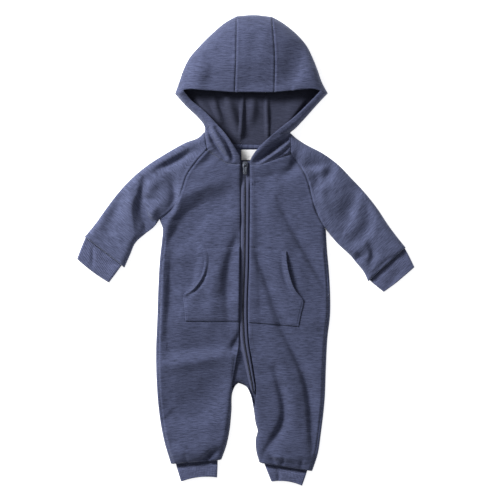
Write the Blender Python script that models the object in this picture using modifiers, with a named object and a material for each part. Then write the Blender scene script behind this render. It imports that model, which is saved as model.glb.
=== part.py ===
"""Hooded zip coverall for a baby, laid out flat on its back, front side up.

The garment lies on the plane z = 0 with its length along Y (hood at +Y) and its width along X.
"left" and "right" in names are the left (-X) and right (+X) of someone looking at the front.
Every table is in millimetres; a mesh is scaled to metres when it is made.

How the shape is worked out
* The outline of the laid garment is a handful of smooth curves, one for each cut edge that shows.
* top_height() gives the height of the cloth's upper side anywhere inside that outline: an even
  loft, rounded off toward the edges, with the main folds of a short table added to it.
  under_height() gives the under side, which is flat on the table and turns up at the edges.
* A panel is a grid of plan positions stretched between its seams (a Coons patch), raised by one
  of these two heights, so that neighbours meet without a step. Solidify turns it into cloth.
"""
import math
from collections import namedtuple

import bmesh
import bpy
import numpy as np
from mathutils import Vector

NAME = "baby_coverall"
MM = 0.001

# ---------------------------------------------------------------- driving sizes, millimetres
CLOTH = 1.8              # thickness of the brushed knit
TAPE = 1.0               # thickness of zip tape and neck tape
LABEL = 0.7
SEAM = 0.3               # gap between two pieces that are sewn or lie on each other
INNER_GAP = 0.3          # half the gap between the hood's pieces where its back is folded
NECK_SEAM = 0.6          # the same at the neck, where the hood stands up from the seam
LOFT = 13.5              # usual height of the upper side over the table
EDGE = 4.0               # height of the middle of a folded edge, and its lower radius
EDGE_RUN = 12.0          # how far in from an edge the upper side is rounded off
LOWEST = 4.9             # least height of the upper side: two layers of cloth and the gap
SIDE_SEAM = 4.5          # the side seams lie this far in from the edge, on the front
ARMPIT_SEAM = 2.2        # and this far where they start, at the armpit

ZIP_BAND = 7.5           # half the width between the two fronts' folded edges
ZIP_LOFT = 8.7           # least height of the fronts beside the zip
GUSSET_TOP = 4.7
TAPE_TOP = 6.1
CHAIN_WIDTH = 4.2
CHAIN_TOP = 8.1
CHAIN_BASE = TAPE_TOP + SEAM

HOOD_EDGE = 8.0          # height of the middle of the hood's folded edge
HOOD_LOFT = 40.0         # height of the hood's upper side
HOOD_RUN = 72.0

CUFF_HEIGHT = 7.2
RIB_PITCH = 4.6
RIB_DEPTH = 0.5

# how finely the panels are divided
ARMHOLE_SHARES = (0, 0.15, 0.3, 0.45, 0.6, 0.74, 0.86, 0.94, 1.0)   # rows, close at the armpit
ARMHOLE_ROWS = len(ARMHOLE_SHARES) - 1
BODY_ROWS = 14
LEG_ROWS = 8
ARM_ROWS = 8
FRONT_COLUMNS = 9
CURVE_STEPS = 60

# ---------------------------------------------------------------- cut edges, millimetres
OVERARM = {"left": [(-70, 199), (-78, 191), (-100, 182), (-136, 162), (-167, 142), (-191, 122),
                    (-211, 101), (-233, 73), (-253, 45), (-271, 23)],
           "right": [(76, 197), (86, 188), (95, 182), (132, 162), (158, 142), (177, 122),
                     (197, 101), (221, 71), (241, 41), (256, 21), (269, 5)]}
OVERARM_AT_ARMPIT = {"left": 6, "right": 6}      # the outline point that faces the armpit
UNDERARM = {"left": [(-145, 52), (-154, 40), (-169, 28), (-186, 12), (-194, -6), (-204, -29)],
            "right": [(135, 35), (153, 13), (179, -12), (187, -22), (199, -37), (206, -52)]}
SIDE = {"left": [(-145, 52), (-140, 38), (-141, 17), (-144, -9), (-147, -58), (-149, -117),
                 (-151, -167), (-150, -221), (-146, -271), (-137, -322), (-126, -359)],
        "right": [(135, 35), (137, 1), (140, -33), (142, -67), (142, -110), (138, -144),
                  (135, -201), (133, -251), (127, -305), (121, -344), (112, -371)]}
INNER_LEG = {"left": [(-12, -223), (-17, -227), (-21, -235), (-24, -271), (-27, -302),
                      (-33, -330), (-41, -352)],
             "right": [(-12, -223), (1, -229), (7, -240), (13, -265), (17, -292), (20, -303),
                       (17, -317), (18, -339), (23, -357)]}
FRONT_RAGLAN = {"left": [(-65, 169), (-82, 150), (-99, 125), (-107, 101), (-116, 80),
                         (-131, 62), (-145, 52)],
                "right": [(76, 162), (93, 140), (105, 115), (110, 95), (116, 73), (124, 54),
                          (135, 35)]}
BACK_RAGLAN = {"left": [(-60, 184), (-94, 140), (-113, 97), (-131, 63.5), (-145, 52)],
               "right": [(66, 182), (95, 136), (110, 88), (123, 56), (135, 35)]}
FRONT_NECK = {"left": [(-9, 145), (-23, 145), (-32, 147), (-44, 155), (-58, 164), (-65, 169)],
              "right": [(7, 144), (17, 143), (40, 149), (58, 156), (76, 162)]}
BACK_NECK = {"left": [(0, 177), (-30, 178), (-60, 184)], "right": [(0, 177), (34, 178), (66, 182)]}
CENTRE_BACK = [(0, 177), (-4, 0), (-12, -223)]
# the folded edge beside the zip, as far as it lies clear of the inner leg seam
FRONT_EDGE = {"left": [(-9, 145), (-9, 1), (-11, -128), (-12, -159), (-16, -184), (-20, -208),
                       (-23, -226), (-21.5, -240)],
              "right": [(7, 144), (7, 85), (6, -16), (4, -125), (6, -156), (11, -184),
                        (15.5, -211), (17.5, -230), (17, -246), (13.5, -268)]}
ZIP_LINE = [(-1, 150), (-1, 85), (-2, -16), (-4, -125), (-2, -156), (3, -184), (8, -211),
            (11.5, -231), (12, -238)]
ZIP_END = -238.0
ZIP_END_BAND = 3.6       # half width of the zip band where it turns into the inner leg seam

# ---------------------------------------------------------------- hood, millimetres
HOOD_SIDE = {"left": [(-15, 394), (-33, 384), (-57, 364), (-78, 343), (-95, 323), (-105, 303),
                      (-112, 283), (-119, 263)],
             "right": [(44, 393), (60, 384), (85, 364), (103, 343), (113, 323), (121, 303),
                       (128, 283), (138, 264)]}
CROWN = [(-15, 394), (14, 396), (44, 393)]
BRIM = [(-119, 263), (-104, 269), (-68, 268), (-18, 265), (0, 265), (49, 265), (91, 269),
        (116, 270), (138, 264)]
OUTER_SEAM = {"left": [(-15, 394), (-16, 320), (-18, 265)],
              "right": [(44, 393), (49, 320), (48, 265)]}
INNER_SEAM = {"left": [(-15, 394), (-6, 320), (-2, 262), (-5, 219), (-8, 177)],
              "right": [(44, 393), (37, 320), (33, 262), (34, 219), (35, 177)]}
# free edge of the mouth from beside the brim's corner down to the zip: x, y, height
MOUTH = {"left": [(-92, 253, 17), (-72, 236, 17), (-55, 219, 19), (-41, 203, 23), (-26, 183, 24),
                  (-14, 166, 19), (-9.6, 158, 16), (-8.8, 152, 13)],
         "right": [(112, 254, 17), (96, 238, 17), (79, 222, 19), (59, 206, 24), (41, 190.5, 26),
                   (24, 175, 22), (12, 160, 17), (7.2, 151, 13)]}
MOUTH_AT_NOTCH = {"left": 3, "right": 4}    # the point above that faces the notch of the neck
# folded edge outside it: x, y, height
TURN = {"left": [(-119, 263, 8), (-100, 242, 7), (-80, 223, 6.3), (-70.5, 211, 5.8),
                 (-68.6, 205.5, 5.2), (-69, 200, 4.3)],
        "right": [(138, 264, 8), (121, 246, 7), (96, 218, 6.3), (80, 202, 5.6), (76.6, 199.5, 5),
                  (75.2, 197.8, 4.3)]}
HOOD_ROWS = 9
TURN_ROWS = 7
NECK_ROWS = 6
NECK_SHARES = np.array([0.03, 0.09, 0.18, 0.3, 0.42, 0.54, 0.66, 0.78, 0.89, 1.0])

# ---------------------------------------------------------------- folds of the laid cloth
# depth below (-) or above (+) the loft at the middle of the fold, its half width to the left and
# to the right of someone walking from start to end, and three points of its line: millimetres
Fold = namedtuple("Fold", "name depth left right start middle end")
FOLDS = [
    Fold("left chest valley", -8.5, 14, 30, (-131, 6), (-92, 65), (-11, 105)),
    Fold("left chest deep end", -4.5, 12, 16, (-134, 4), (-112, 38), (-83, 78)),
    Fold("left chest ridge", 3.6, 10, 12, (-137, 24), (-104, 85), (-33, 118)),
    Fold("left side rim", 1.8, 5, 5, (-139, -3), (-139, -70), (-144, -147)),
    Fold("left side valley", -4.5, 14, 6, (-124, -3), (-127, -70), (-132, -151)),
    Fold("left waist valley", -3.2, 8, 22, (-127, -23), (-100, -30), (-73, -19)),
    Fold("left pocket valley", -6.5, 12, 8, (-10, 34), (-30, -33), (-28, -120)),
    Fold("left pocket ridge", 3.0, 12, 12, (-45, -16), (-55, -67), (-57, -110)),
    Fold("left thigh valley", -6.5, 28, 8, (-141, -167), (-83, -164), (-25, -167)),
    Fold("left thigh ridge", 4.8, 9, 14, (-144, -193), (-85, -186), (-33, -174)),
    Fold("left knee valley", -5.9, 20, 44, (-144, -245), (-80, -231), (-26, -203)),
    Fold("left shin rise", 3.6, 26, 8, (-124, -340), (-77, -337), (-33, -319)),
    Fold("left groin valley", -5.9, 6, 8, (-28, -169), (-16, -156), (-6, -137)),
    Fold("left inner leg rise", 3.0, 5, 14, (-30, -187), (-33, -235), (-33, -292)),
    Fold("left ankle tuck", -5.2, 5, 5, (-48, -334), (-62, -347), (-68, -362)),
    Fold("right chest valley", -5.9, 14, 6, (56, 81), (93, 11), (137, -67)),
    Fold("right chest ridge", 2.4, 10, 12, (27, 85), (64, 17), (101, -53)),
    Fold("right pocket valley", -5.9, 12, 7, (17, -3), (41, -67), (59, -130)),
    Fold("right leg valley", -7.8, 12, 6, (59, -127), (100, -218), (113, -352)),
    Fold("right leg ridge", 3.6, 12, 14, (37, -151), (76, -228), (86, -325)),
    Fold("right inner leg valley", -7.2, 9, 6, (49, -198), (64, -282), (29, -345)),
    Fold("right shin rise", 3.6, 20, 7, (24, -339), (68, -342), (115, -339)),
    Fold("right neck dip", -3.9, 7, 16, (11, 122), (34, 123), (64, 133)),
    Fold("right yoke wedge", -4.0, 8, 10, (59, 123), (76, 138), (84, 158)),
    Fold("left neck dip", -3.0, 8, 9, (-85, 137), (-67, 149), (-54, 160)),
    Fold("beside the zip", -2.0, 14, 6, (19, 118), (22, 1), (27, -134)),
    Fold("left shoulder valley", -5.2, 6, 10, (-166, 125), (-141, 137), (-107, 159)),
    Fold("left sleeve cross valley", -7.8, 12, 7, (-186, 95), (-176, 65), (-157, 28)),
    Fold("left sleeve long ridge", 4.2, 8, 16, (-183, 108), (-198, 71), (-203, 17)),
    Fold("left sleeve upper puff", 3.6, 9, 9, (-149, 118), (-161, 107), (-166, 95)),
    Fold("left sleeve lower puff", 4.2, 8, 9, (-147, 75), (-157, 68), (-162, 56)),
    Fold("left puff crease", -4.5, 6, 6, (-183, 96), (-166, 85), (-146, 85)),
    Fold("left raglan valley", -5.9, 7, 9, (-125, 108), (-129, 78), (-144, 41)),
    Fold("left forearm valley", -2.6, 16, 16, (-213, 91), (-225, 58), (-238, 21)),
    Fold("right shoulder valley", -5.2, 6, 8, (86, 145), (110, 142), (138, 149)),
    Fold("right shoulder crease", -5.2, 8, 6, (143, 145), (140, 128), (128, 115)),
    Fold("right yoke crease", -3.2, 8, 6, (116, 135), (120, 118), (116, 101)),
    Fold("right upper sleeve valley", -5.2, 12, 7, (153, 115), (152, 85), (145, 44)),
    Fold("right shoulder ridge", 3.6, 10, 10, (132, 108), (128, 91), (137, 68)),
    Fold("right elbow valley", -6.5, 12, 12, (187, 81), (195, 41), (169, 14)),
    Fold("right forearm ridge", 3.6, 8, 8, (202, 28), (179, 7), (162, 1)),
    Fold("right wrist crease", -6.5, 7, 5, (211, 14), (216, -6), (207, -30)),
    Fold("right wrist tuck", -5.9, 6, 6, (202, -6), (192, -14), (179, -19)),
    Fold("left wrist seam", -3.6, 9, 5, (-276, 27), (-240, -1), (-198, -34)),
    Fold("right wrist seam", -3.6, 5, 9, (275, 11), (240, -20), (200, -57)),
    Fold("left ankle seam", -3.6, 9, 5, (-132, -360), (-84, -356), (-36, -352)),
    Fold("right ankle seam", -3.6, 9, 5, (18, -356), (68, -364), (117, -372)),
]
HOOD_FOLDS = [
    Fold("brim dip", -12.0, 34, 30, (-112, 266), (10, 262), (132, 266)),
    Fold("right flap hollow", -5.0, 14, 30, (92, 340), (86, 311), (80, 280)),
    Fold("right flap ridge", 3.0, 12, 14, (122, 318), (112, 296), (104, 276)),
    Fold("left flap hollow", -3.0, 26, 13, (-52, 322), (-57, 294), (-60, 276)),
]
# folds of the hood's back where it lies on the table and shows through the mouth
FLOOR_FOLDS = [
    Fold("left inner ridge", 6.0, 9, 6, (-48, 262), (-38, 232), (-28, 205)),
    Fold("left seam ridge", 4.0, 5, 7, (-9, 262), (-7, 225), (-10, 196)),
    Fold("right inner ridge", 4.5, 8, 10, (66, 262), (52, 232), (42, 205)),
]

# ---------------------------------------------------------------- pieces on the fronts
POCKET = {"left": {"top": [(-10.5, 7), (-42, 4), (-74, 4)],
                   "side": [(-74, 4), (-70, -12), (-76, -43), (-89, -61), (-104, -74),
                            (-103, -95), (-101, -119)],
                   "inner": [(-10.5, 7), (-11.5, -119)]},
          "right": {"top": [(7.5, 4), (38, 2), (68, -1)],
                    "side": [(68, -1), (69, -19), (72, -36), (82, -65), (97, -86), (93, -107),
                             (89, -128)],
                    "inner": [(7.5, 4), (5.5, -121)]}}
POCKET_GAPE = {"left": 1.5, "right": 3.0}   # how far the slanted opening stands off the front
POCKET_ROWS = 10
POCKET_COLUMNS = 7
POCKET_BRIDGE = 6.0      # the pocket bridges hollows narrower than this
POCKET_GAP = 0.7

# for each cuff: the hem's two ends, how far in from them the cuff starts, its far corners, and
# how far its far edge bows outward
Cuff = namedtuple("Cuff", "hem_a hem_b in_a in_b end_a end_b bow")
CUFFS = {
    "sleeve_cuff_left": Cuff((-271, 23), (-204, -29), 1.5, 6.0, (-284, -14), (-230, -54), 2.0),
    "sleeve_cuff_right": Cuff((206, -52), (269, 5), 3.0, 1.5, (232, -70), (284, -28), 1.0),
    "ankle_cuff_left": Cuff((-126, -359), (-41, -352), 8.0, 6.0, (-109, -389), (-48, -382), -4.0),
    "ankle_cuff_right": Cuff((23, -357), (112, -371), 8.0, 8.0, (43, -389), (95, -396), -4.0),
}
CUFF_ROWS = 2
CUFF_END_STEPS = 5

NECK_TAPE_WIDTH = 6.0
LABEL_BOX = ((-7.5, 152.0), (20.0, 169.5))

# ---------------------------------------------------------------- zip slider and pull tab
SLIDER_Y = 144.0
SLIDER_LENGTH = 12.0
SLIDER_WIDTH = 9.6
SLIDER_BODY = 3.0
BAIL_WIDTH = 2.0
BAIL_LEG = 1.2
BAIL_TUNNEL = (3.0, 1.9)     # clear length and height under the bail
TAB_WIDTH = 6.4
TAB_LENGTH = 17.0
TAB_THICK = 1.1
TAB_WINDOW = (3.2, 4.4)      # window that hooks over the bail: width, length
TAB_HOLE = 3.0

# ---------------------------------------------------------------- finishes
FINISHES = {
    "fleece": ((0.092, 0.105, 0.18), 0.92, 0.0),
    "rib_knit": ((0.085, 0.097, 0.168), 0.92, 0.0),
    "zip_tape": ((0.05, 0.058, 0.10), 0.85, 0.0),
    "zip_coil": ((0.06, 0.07, 0.12), 0.45, 0.0),
    "metal": ((0.30, 0.34, 0.42), 0.35, 0.9),
    "label": ((0.80, 0.80, 0.80), 0.8, 0.0),
}


# ================================================================ curves and heights
def along(points, shares):
    """Places at shares (0 to 1) of the way along a smooth curve through the given points."""
    knots = np.asarray(points, float)
    t = np.concatenate([[0.0], np.cumsum(np.linalg.norm(np.diff(knots, axis=0), axis=1))])
    t /= t[-1]
    slopes = np.gradient(knots, t, axis=0)
    s = np.clip(np.asarray(shares, float), 0.0, 1.0)
    i = np.clip(np.searchsorted(t, s, side="right") - 1, 0, len(t) - 2)
    span = (t[i + 1] - t[i])[:, None]
    f = (s - t[i])[:, None] / span
    return ((1 + 2 * f) * (1 - f) ** 2 * knots[i] + f * (1 - f) ** 2 * span * slopes[i]
            + f * f * (3 - 2 * f) * knots[i + 1] + f * f * (f - 1) * span * slopes[i + 1])


def knot_share(points, index):
    """How far along its curve, from 0 to 1, the given point of the table lies."""
    steps = np.linalg.norm(np.diff(np.asarray(points, float), axis=0), axis=1)
    return steps[:index].sum() / steps.sum()


def smooth(points, count=CURVE_STEPS):
    return along(points, np.linspace(0, 1, count))


def x_at(points, y):
    """Where a curve that runs down the garment crosses the heights y."""
    curve = smooth(points, 4 * CURVE_STEPS)
    order = np.argsort(curve[:, 1])
    return np.interp(y, curve[order, 1], curve[order, 0])


def share_at_x(points, x):
    """How far along a curve that runs across the garment it reaches the place x."""
    shares = np.linspace(0, 1, 8 * CURVE_STEPS)
    across = along(points, shares)[:, 0]
    order = np.argsort(across)
    return float(np.interp(x, across[order], shares[order]))


def on_hem(side, x):
    """The place x on the straight hem of a leg."""
    (xa, ya), (xb, yb) = INNER_LEG[side][-1], SIDE[side][-1]
    return np.array([x, ya + (yb - ya) * (x - xa) / (xb - xa)])


def edge_at(points, y, shift=0.0):
    """Points of a curve at the heights y, moved sideways."""
    return np.column_stack([x_at(points, y) + shift, y])


def nearest(x, y, line):
    """Distance from each place to a polyline, the side it lies on (+1 left) and its share."""
    a, b = line[:-1], line[1:]
    ab = b - a
    px, py = x.ravel()[:, None], y.ravel()[:, None]
    f = np.clip(((px - a[:, 0]) * ab[:, 0] + (py - a[:, 1]) * ab[:, 1])
                / (ab ** 2).sum(1), 0, 1)
    dx, dy = px - a[:, 0] - f * ab[:, 0], py - a[:, 1] - f * ab[:, 1]
    distance = np.hypot(dx, dy)
    k = distance.argmin(1)
    row = np.arange(len(k))
    side = np.sign(ab[k, 0] * dy[row, k] - ab[k, 1] * dx[row, k])
    share = (k + f[row, k]) / len(a)
    return (distance[row, k].reshape(x.shape), side.reshape(x.shape), share.reshape(x.shape))


def fold_sum(x, y, folds):
    """Each fold is a bell across its line, wider on one side, that fades toward its ends."""
    total = np.zeros(x.shape)
    for fold in folds:
        line = smooth([fold.start, fold.middle, fold.end], 14)
        distance, side, share = nearest(x, y, line)
        width = np.where(side > 0, fold.left, fold.right)
        fade = 0.35 + 0.65 * np.sin(np.pi * share) ** 0.8
        total += fold.depth * fade * np.exp(-(distance / width) ** 2)
    return total


def edge_distance(x, y, lines):
    return np.min([nearest(x, y, line)[0] for line in lines], axis=0)


BODY_OUTLINE = [smooth(table[side]) for table in (OVERARM, UNDERARM, SIDE, INNER_LEG)
                for side in ("left", "right")]
HOOD_OUTLINE = [smooth(HOOD_SIDE["left"]), smooth(CROWN), smooth(HOOD_SIDE["right"])]
ZIP_PATH = smooth(ZIP_LINE)


def rounded(distance, run):
    """0 at an edge, 1 from run inward, along a quarter of an ellipse."""
    return np.sqrt(1 - (1 - np.clip(distance / run, 0, 1)) ** 2)


def top_height(x, y):
    """Upper side of the laid garment: the loft and its folds, rounded off at the outline."""
    loft = LOFT + fold_sum(x, y, FOLDS)
    beside_zip = 1 - np.clip((nearest(x, y, ZIP_PATH)[0] - 10) / 10, 0, 1)
    least = LOWEST + (ZIP_LOFT - LOWEST) * beside_zip
    loft = least + np.logaddexp(0, 2.0 * (loft - least)) / 2.0
    return EDGE + (loft - EDGE) * rounded(edge_distance(x, y, BODY_OUTLINE), EDGE_RUN)


def under_height(x, y):
    """Under side: flat on the table, turning up with a round at the outline."""
    inset = EDGE - np.clip(edge_distance(x, y, BODY_OUTLINE), 0, EDGE)
    return EDGE - np.sqrt(EDGE ** 2 - inset ** 2)


def hood_height(x, y):
    """Upper side of the hood: a dome that falls to the folded edge all round."""
    loft = HOOD_LOFT + fold_sum(x, y, HOOD_FOLDS)
    return HOOD_EDGE + (loft - HOOD_EDGE) * rounded(edge_distance(x, y, HOOD_OUTLINE), HOOD_RUN)


def hood_floor(x, y):
    """Under side of the hood: flat on the table, lifted where its back is folded."""
    inset = HOOD_EDGE - np.clip(edge_distance(x, y, HOOD_OUTLINE), 0, HOOD_EDGE)
    return HOOD_EDGE - np.sqrt(HOOD_EDGE ** 2 - inset ** 2) + floor_lift(x, y)


def floor_lift(x, y):
    """The folds of the hood's back die out toward the neck seam and under the brim."""
    fade = np.clip((y - 186) / 24, 0, 1) * np.clip((300 - y) / 40, 0, 1)
    return np.where(fade > 0, fold_sum(x, y, FLOOR_FOLDS) * fade, 0.0)


# ================================================================ grids and solids
def coons(left, right, top, bottom, shares, power=1.0):
    """A grid stretched between four edges: straight across each row, then bent to fit the
    top and bottom edges, whose bend dies out away from them."""
    u = np.asarray(shares)[None, :, None]
    v = np.linspace(0, 1, len(left))[:, None, None]
    grid = (1 - u) * left[:, None, :] + u * right[:, None, :]
    bend_top = top[None] - ((1 - u) * top[0] + u * top[-1])
    bend_bottom = bottom[None] - ((1 - u) * bottom[0] + u * bottom[-1])
    return grid + (1 - v) ** power * bend_top + v ** power * bend_bottom


def ruled(left, right, shares):
    """A grid that is straight across from one edge to the other."""
    u = np.asarray(shares)[None, :, None]
    return (1 - u) * left[:, None, :] + u * right[:, None, :]


def raised(plan, height):
    """A grid of plan places with its height as the third coordinate."""
    return np.dstack([plan[..., 0], plan[..., 1], height(plan[..., 0], plan[..., 1])])


def finish_material(name):
    colour, roughness, metallic = FINISHES[name]
    material = bpy.data.materials.get(name) or bpy.data.materials.new(name)
    material.use_nodes = True
    shader = material.node_tree.nodes["Principled BSDF"]
    shader.inputs["Base Color"].default_value = (*colour, 1.0)
    shader.inputs["Roughness"].default_value = roughness
    shader.inputs["Metallic"].default_value = metallic
    material.diffuse_color = (*colour, 1.0)
    return material


def add_object(name, mesh, finish, parent):
    obj = bpy.data.objects.new(name, mesh)
    mesh.materials.append(finish_material(finish))
    parent.objects.link(obj)
    return obj


def mesh_from_grids(name, grids, flip=False, close_rows=False):
    """One mesh from grids of points in millimetres that share edges; equal points are merged."""
    points, faces, first = [], [], 0
    for grid in grids:
        rows, columns = grid.shape[:2]
        index = first + np.arange(rows * columns).reshape(rows, columns)
        if close_rows:
            index = np.column_stack([index, index[:, 0]])
        a, b, c, d = index[:-1, :-1], index[:-1, 1:], index[1:, 1:], index[1:, :-1]
        faces.append(np.stack([a, d, c, b] if flip else [a, b, c, d], axis=-1).reshape(-1, 4))
        points.append(grid.reshape(-1, 3) * MM)
        first += rows * columns
    mesh = bpy.data.meshes.new(name)
    mesh.from_pydata(np.concatenate(points).tolist(), [], np.concatenate(faces).tolist())
    cage = bmesh.new()
    cage.from_mesh(mesh)
    bmesh.ops.remove_doubles(cage, verts=cage.verts, dist=0.00002)
    bmesh.ops.dissolve_degenerate(cage, edges=cage.edges, dist=0.00001)
    cage.to_mesh(mesh)
    cage.free()
    mesh.shade_smooth()
    return mesh


def cloth_piece(name, grids, parent, finish="fleece", thickness=CLOTH, flip=False):
    """A sheet given its thickness inward, so that the grid stays its outer side."""
    obj = add_object(name, mesh_from_grids(name, grids, flip), finish, parent)
    wall = obj.modifiers.new("cloth", "SOLIDIFY")
    wall.thickness = thickness * MM
    wall.offset = -1.0
    return obj


# ================================================================ body panels
def body_levels(side):
    """Heights of the rows: along the raglan, down to the crotch, and down to the hem."""
    armpit = SIDE[side][0][1]
    crotch = INNER_LEG[side][0][1]
    outer_hem, inner_hem = SIDE[side][-1][1], INNER_LEG[side][-1][1]
    body = np.append(np.linspace(armpit, crotch + 5.0, BODY_ROWS + 1)[1:], crotch)
    return (np.concatenate([body, np.linspace(crotch, outer_hem, LEG_ROWS + 1)[1:]]),
            np.concatenate([body, np.linspace(crotch, inner_hem, LEG_ROWS + 1)[1:]]))


def toward_centre(side):
    return 1.0 if side == "left" else -1.0


def front_edge(side, y, shift=0.0):
    """The front's inner edge: beside the zip, and below it the edge of the inner leg."""
    beside_zip = edge_at(FRONT_EDGE[side], y, shift)
    if shift:
        return beside_zip
    inner_leg = edge_at(INNER_LEG[side], y, -1.2 * toward_centre(side))
    further = np.minimum if side == "left" else np.maximum
    low = np.where(y[:, None] < FRONT_EDGE[side][-1][1], inner_leg,
                   np.column_stack([further(beside_zip[:, 0], inner_leg[:, 0]), y]))
    return np.where(y[:, None] < INNER_LEG[side][0][1] + 1.0, low, beside_zip)


def front_panel(side, parent):
    """One front from neck to ankle: raglan, side seam, hem, and folded edge beside the zip."""
    inward = toward_centre(side)
    outer_y, inner_y = body_levels(side)
    raglan = along(FRONT_RAGLAN[side], ARMHOLE_SHARES) + (inward * SEAM / 2, 0)
    raglan[-1, 0] += inward * (ARMPIT_SEAM + SEAM + 0.6)
    below = edge_at(SIDE[side], outer_y, inward * (SIDE_SEAM + SEAM / 2))
    neck_y = np.linspace(FRONT_NECK[side][0][1], raglan[-1, 1], ARMHOLE_ROWS + 1)
    inner = front_edge(side, np.concatenate([neck_y, inner_y]))
    outer = np.concatenate([raglan, below])
    outer[-1] = on_hem(side, outer[-1, 0])
    shares = np.concatenate([[0, 0.006, 0.022], np.linspace(0.06, 0.93, FRONT_COLUMNS),
                             [0.972, 0.995, 1.0]])
    neck = along(FRONT_NECK[side], shares)
    neck[0], neck[-1] = inner[0], outer[0]
    hem = (1 - shares[:, None]) * inner[-1] + shares[:, None] * outer[-1]
    plan = coons(inner, outer, neck, hem, shares, power=6.0)
    return cloth_piece("front_" + side, [raised(plan, top_height)], parent,
                       flip=side == "right")


def back_panel(side, parent):
    """One back from neck to ankle, flat on the table; below the armpit it turns up round the
    edge to the side seam, and on the inner leg it ends on the edge."""
    inward = toward_centre(side)
    outer_y, inner_y = body_levels(side)
    armhole = along(BACK_RAGLAN[side], ARMHOLE_SHARES) + (inward * SEAM / 2, 0)
    side_edge = np.concatenate([armhole, edge_at(SIDE[side], outer_y)])
    side_seam = np.concatenate([armhole[-1:] + (inward * ARMPIT_SEAM, 0),
                                edge_at(SIDE[side], outer_y, inward * (SIDE_SEAM - SEAM / 2))])
    side_seam[-1] = on_hem(side, side_seam[-1, 0])
    centre_y = np.linspace(BACK_NECK[side][0][1], armhole[-1, 1], ARMHOLE_ROWS + 1)
    centre = np.concatenate([centre_y, inner_y])
    above = centre > INNER_LEG[side][0][1] + 1.0
    inner_edge = np.where(above[:, None], edge_at(CENTRE_BACK, centre, -inward * SEAM / 2),
                          edge_at(INNER_LEG[side], centre, -inward * SEAM / 2))
    floor_shares = np.array([0, 0.006, 0.028, 0.35, 0.7, 0.97, 0.985, 0.995, 1.0])
    neck = along(BACK_NECK[side], floor_shares)
    neck[0], neck[-1] = inner_edge[0], side_edge[0]
    hem = (1 - floor_shares[:, None]) * inner_edge[-1] + floor_shares[:, None] * side_edge[-1]
    floor = raised(coons(inner_edge, side_edge, neck, hem, floor_shares, power=6.0),
                   under_height)
    side_wrap = raised(ruled(side_edge[ARMHOLE_ROWS:], side_seam, [0, 0.12, 0.42, 0.85, 1.0]),
                       top_height)
    side_wrap[:, 0] = floor[ARMHOLE_ROWS:, -1]
    return cloth_piece("back_" + side, [floor, side_wrap], parent, flip=side == "left")


def crotch_gusset(parent):
    """Small wedge between the legs, lower than the fronts, beside the zip's left tape."""
    y = np.linspace(-140, -219, 6)
    left = front_edge("left", y, -4.0)
    right = edge_at(ZIP_LINE, y, -3.5)
    arc = np.array([(-26, -222), (-19, -219.5), (-12, -217), (-4, -219), (2, -222), (6, -227)])
    shares = np.linspace(0, 1, 6)
    bottom = along(arc, shares)
    left[-1], right[-1] = bottom[0], bottom[-1]
    top = (1 - shares[:, None]) * left[0] + shares[:, None] * right[0]
    plan = coons(left, right, top, bottom, shares, power=3.0)
    grid = raised(plan, lambda px, py: np.full(px.shape, GUSSET_TOP))
    return cloth_piece("crotch_gusset", [grid], parent, flip=True)


# ================================================================ sleeves and cuffs
def sleeve(side, parent):
    """One raglan sleeve: open along the raglans down to the armpit, a tube from there on."""
    outward = -toward_centre(side)
    turn_share = knot_share(OVERARM[side], OVERARM_AT_ARMPIT[side])
    over = along(OVERARM[side], np.concatenate([
        turn_share * np.array(ARMHOLE_SHARES),
        np.linspace(turn_share, 1, ARM_ROWS + 1)[1:]]))
    under = smooth(UNDERARM[side], ARM_ROWS + 1)[1:]
    front = along(FRONT_RAGLAN[side], ARMHOLE_SHARES) + (outward * SEAM / 2, 0)
    back = along(BACK_RAGLAN[side], ARMHOLE_SHARES) + (outward * SEAM / 2, 0)
    front[-1] = back[-1] = front[-1] + (outward * 0.3, 0)
    seam_top = np.concatenate([front, under])
    seam_under = np.concatenate([back, under])
    shares = np.array([0, 0.012, 0.04, 0.09, 0.2, 0.34, 0.48, 0.62, 0.76, 0.88, 0.95,
                       0.98, 0.994, 1.0])
    floor_shares = np.array([0, 0.006, 0.022, 0.05, 0.5, 0.95, 0.978, 0.994, 1.0])
    upper = raised(ruled(seam_top, over, shares), top_height)
    lower = raised(ruled(over, seam_under, floor_shares), under_height)
    upper[:, -1, 2] = lower[:, 0, 2] = EDGE
    upper[ARMHOLE_ROWS:, 0, 2] = lower[ARMHOLE_ROWS:, -1, 2] = EDGE
    return cloth_piece("sleeve_" + side, [upper, lower], parent, flip=side == "right")


def cuff_section(width):
    """Section of a flattened cuff: place across, height and the outward direction of each
    point, and whether it carries a rib. The under side is plain and rests flat."""
    radius = CUFF_HEIGHT / 2
    flat = width - 2 * radius
    ribs = 2 * max(1, round(flat / RIB_PITCH))
    across = radius + np.linspace(0, flat, ribs + 1)
    turn = np.linspace(0, math.pi, CUFF_END_STEPS)[1:-1]
    top = [(s, CUFF_HEIGHT, 0.0, 1.0, k % 2) for k, s in enumerate(across)]
    far = [(width - radius + radius * math.sin(a), radius + radius * math.cos(a),
            math.sin(a), math.cos(a), 0) for a in turn]
    under = [(s, 0.0, 0.0, -1.0, 0) for s in np.linspace(width - radius, radius, 5)]
    near = [(radius - radius * math.sin(a), radius - radius * math.cos(a),
             -math.sin(a), -math.cos(a), 0) for a in turn]
    return np.array(top + far + under + near)


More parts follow.
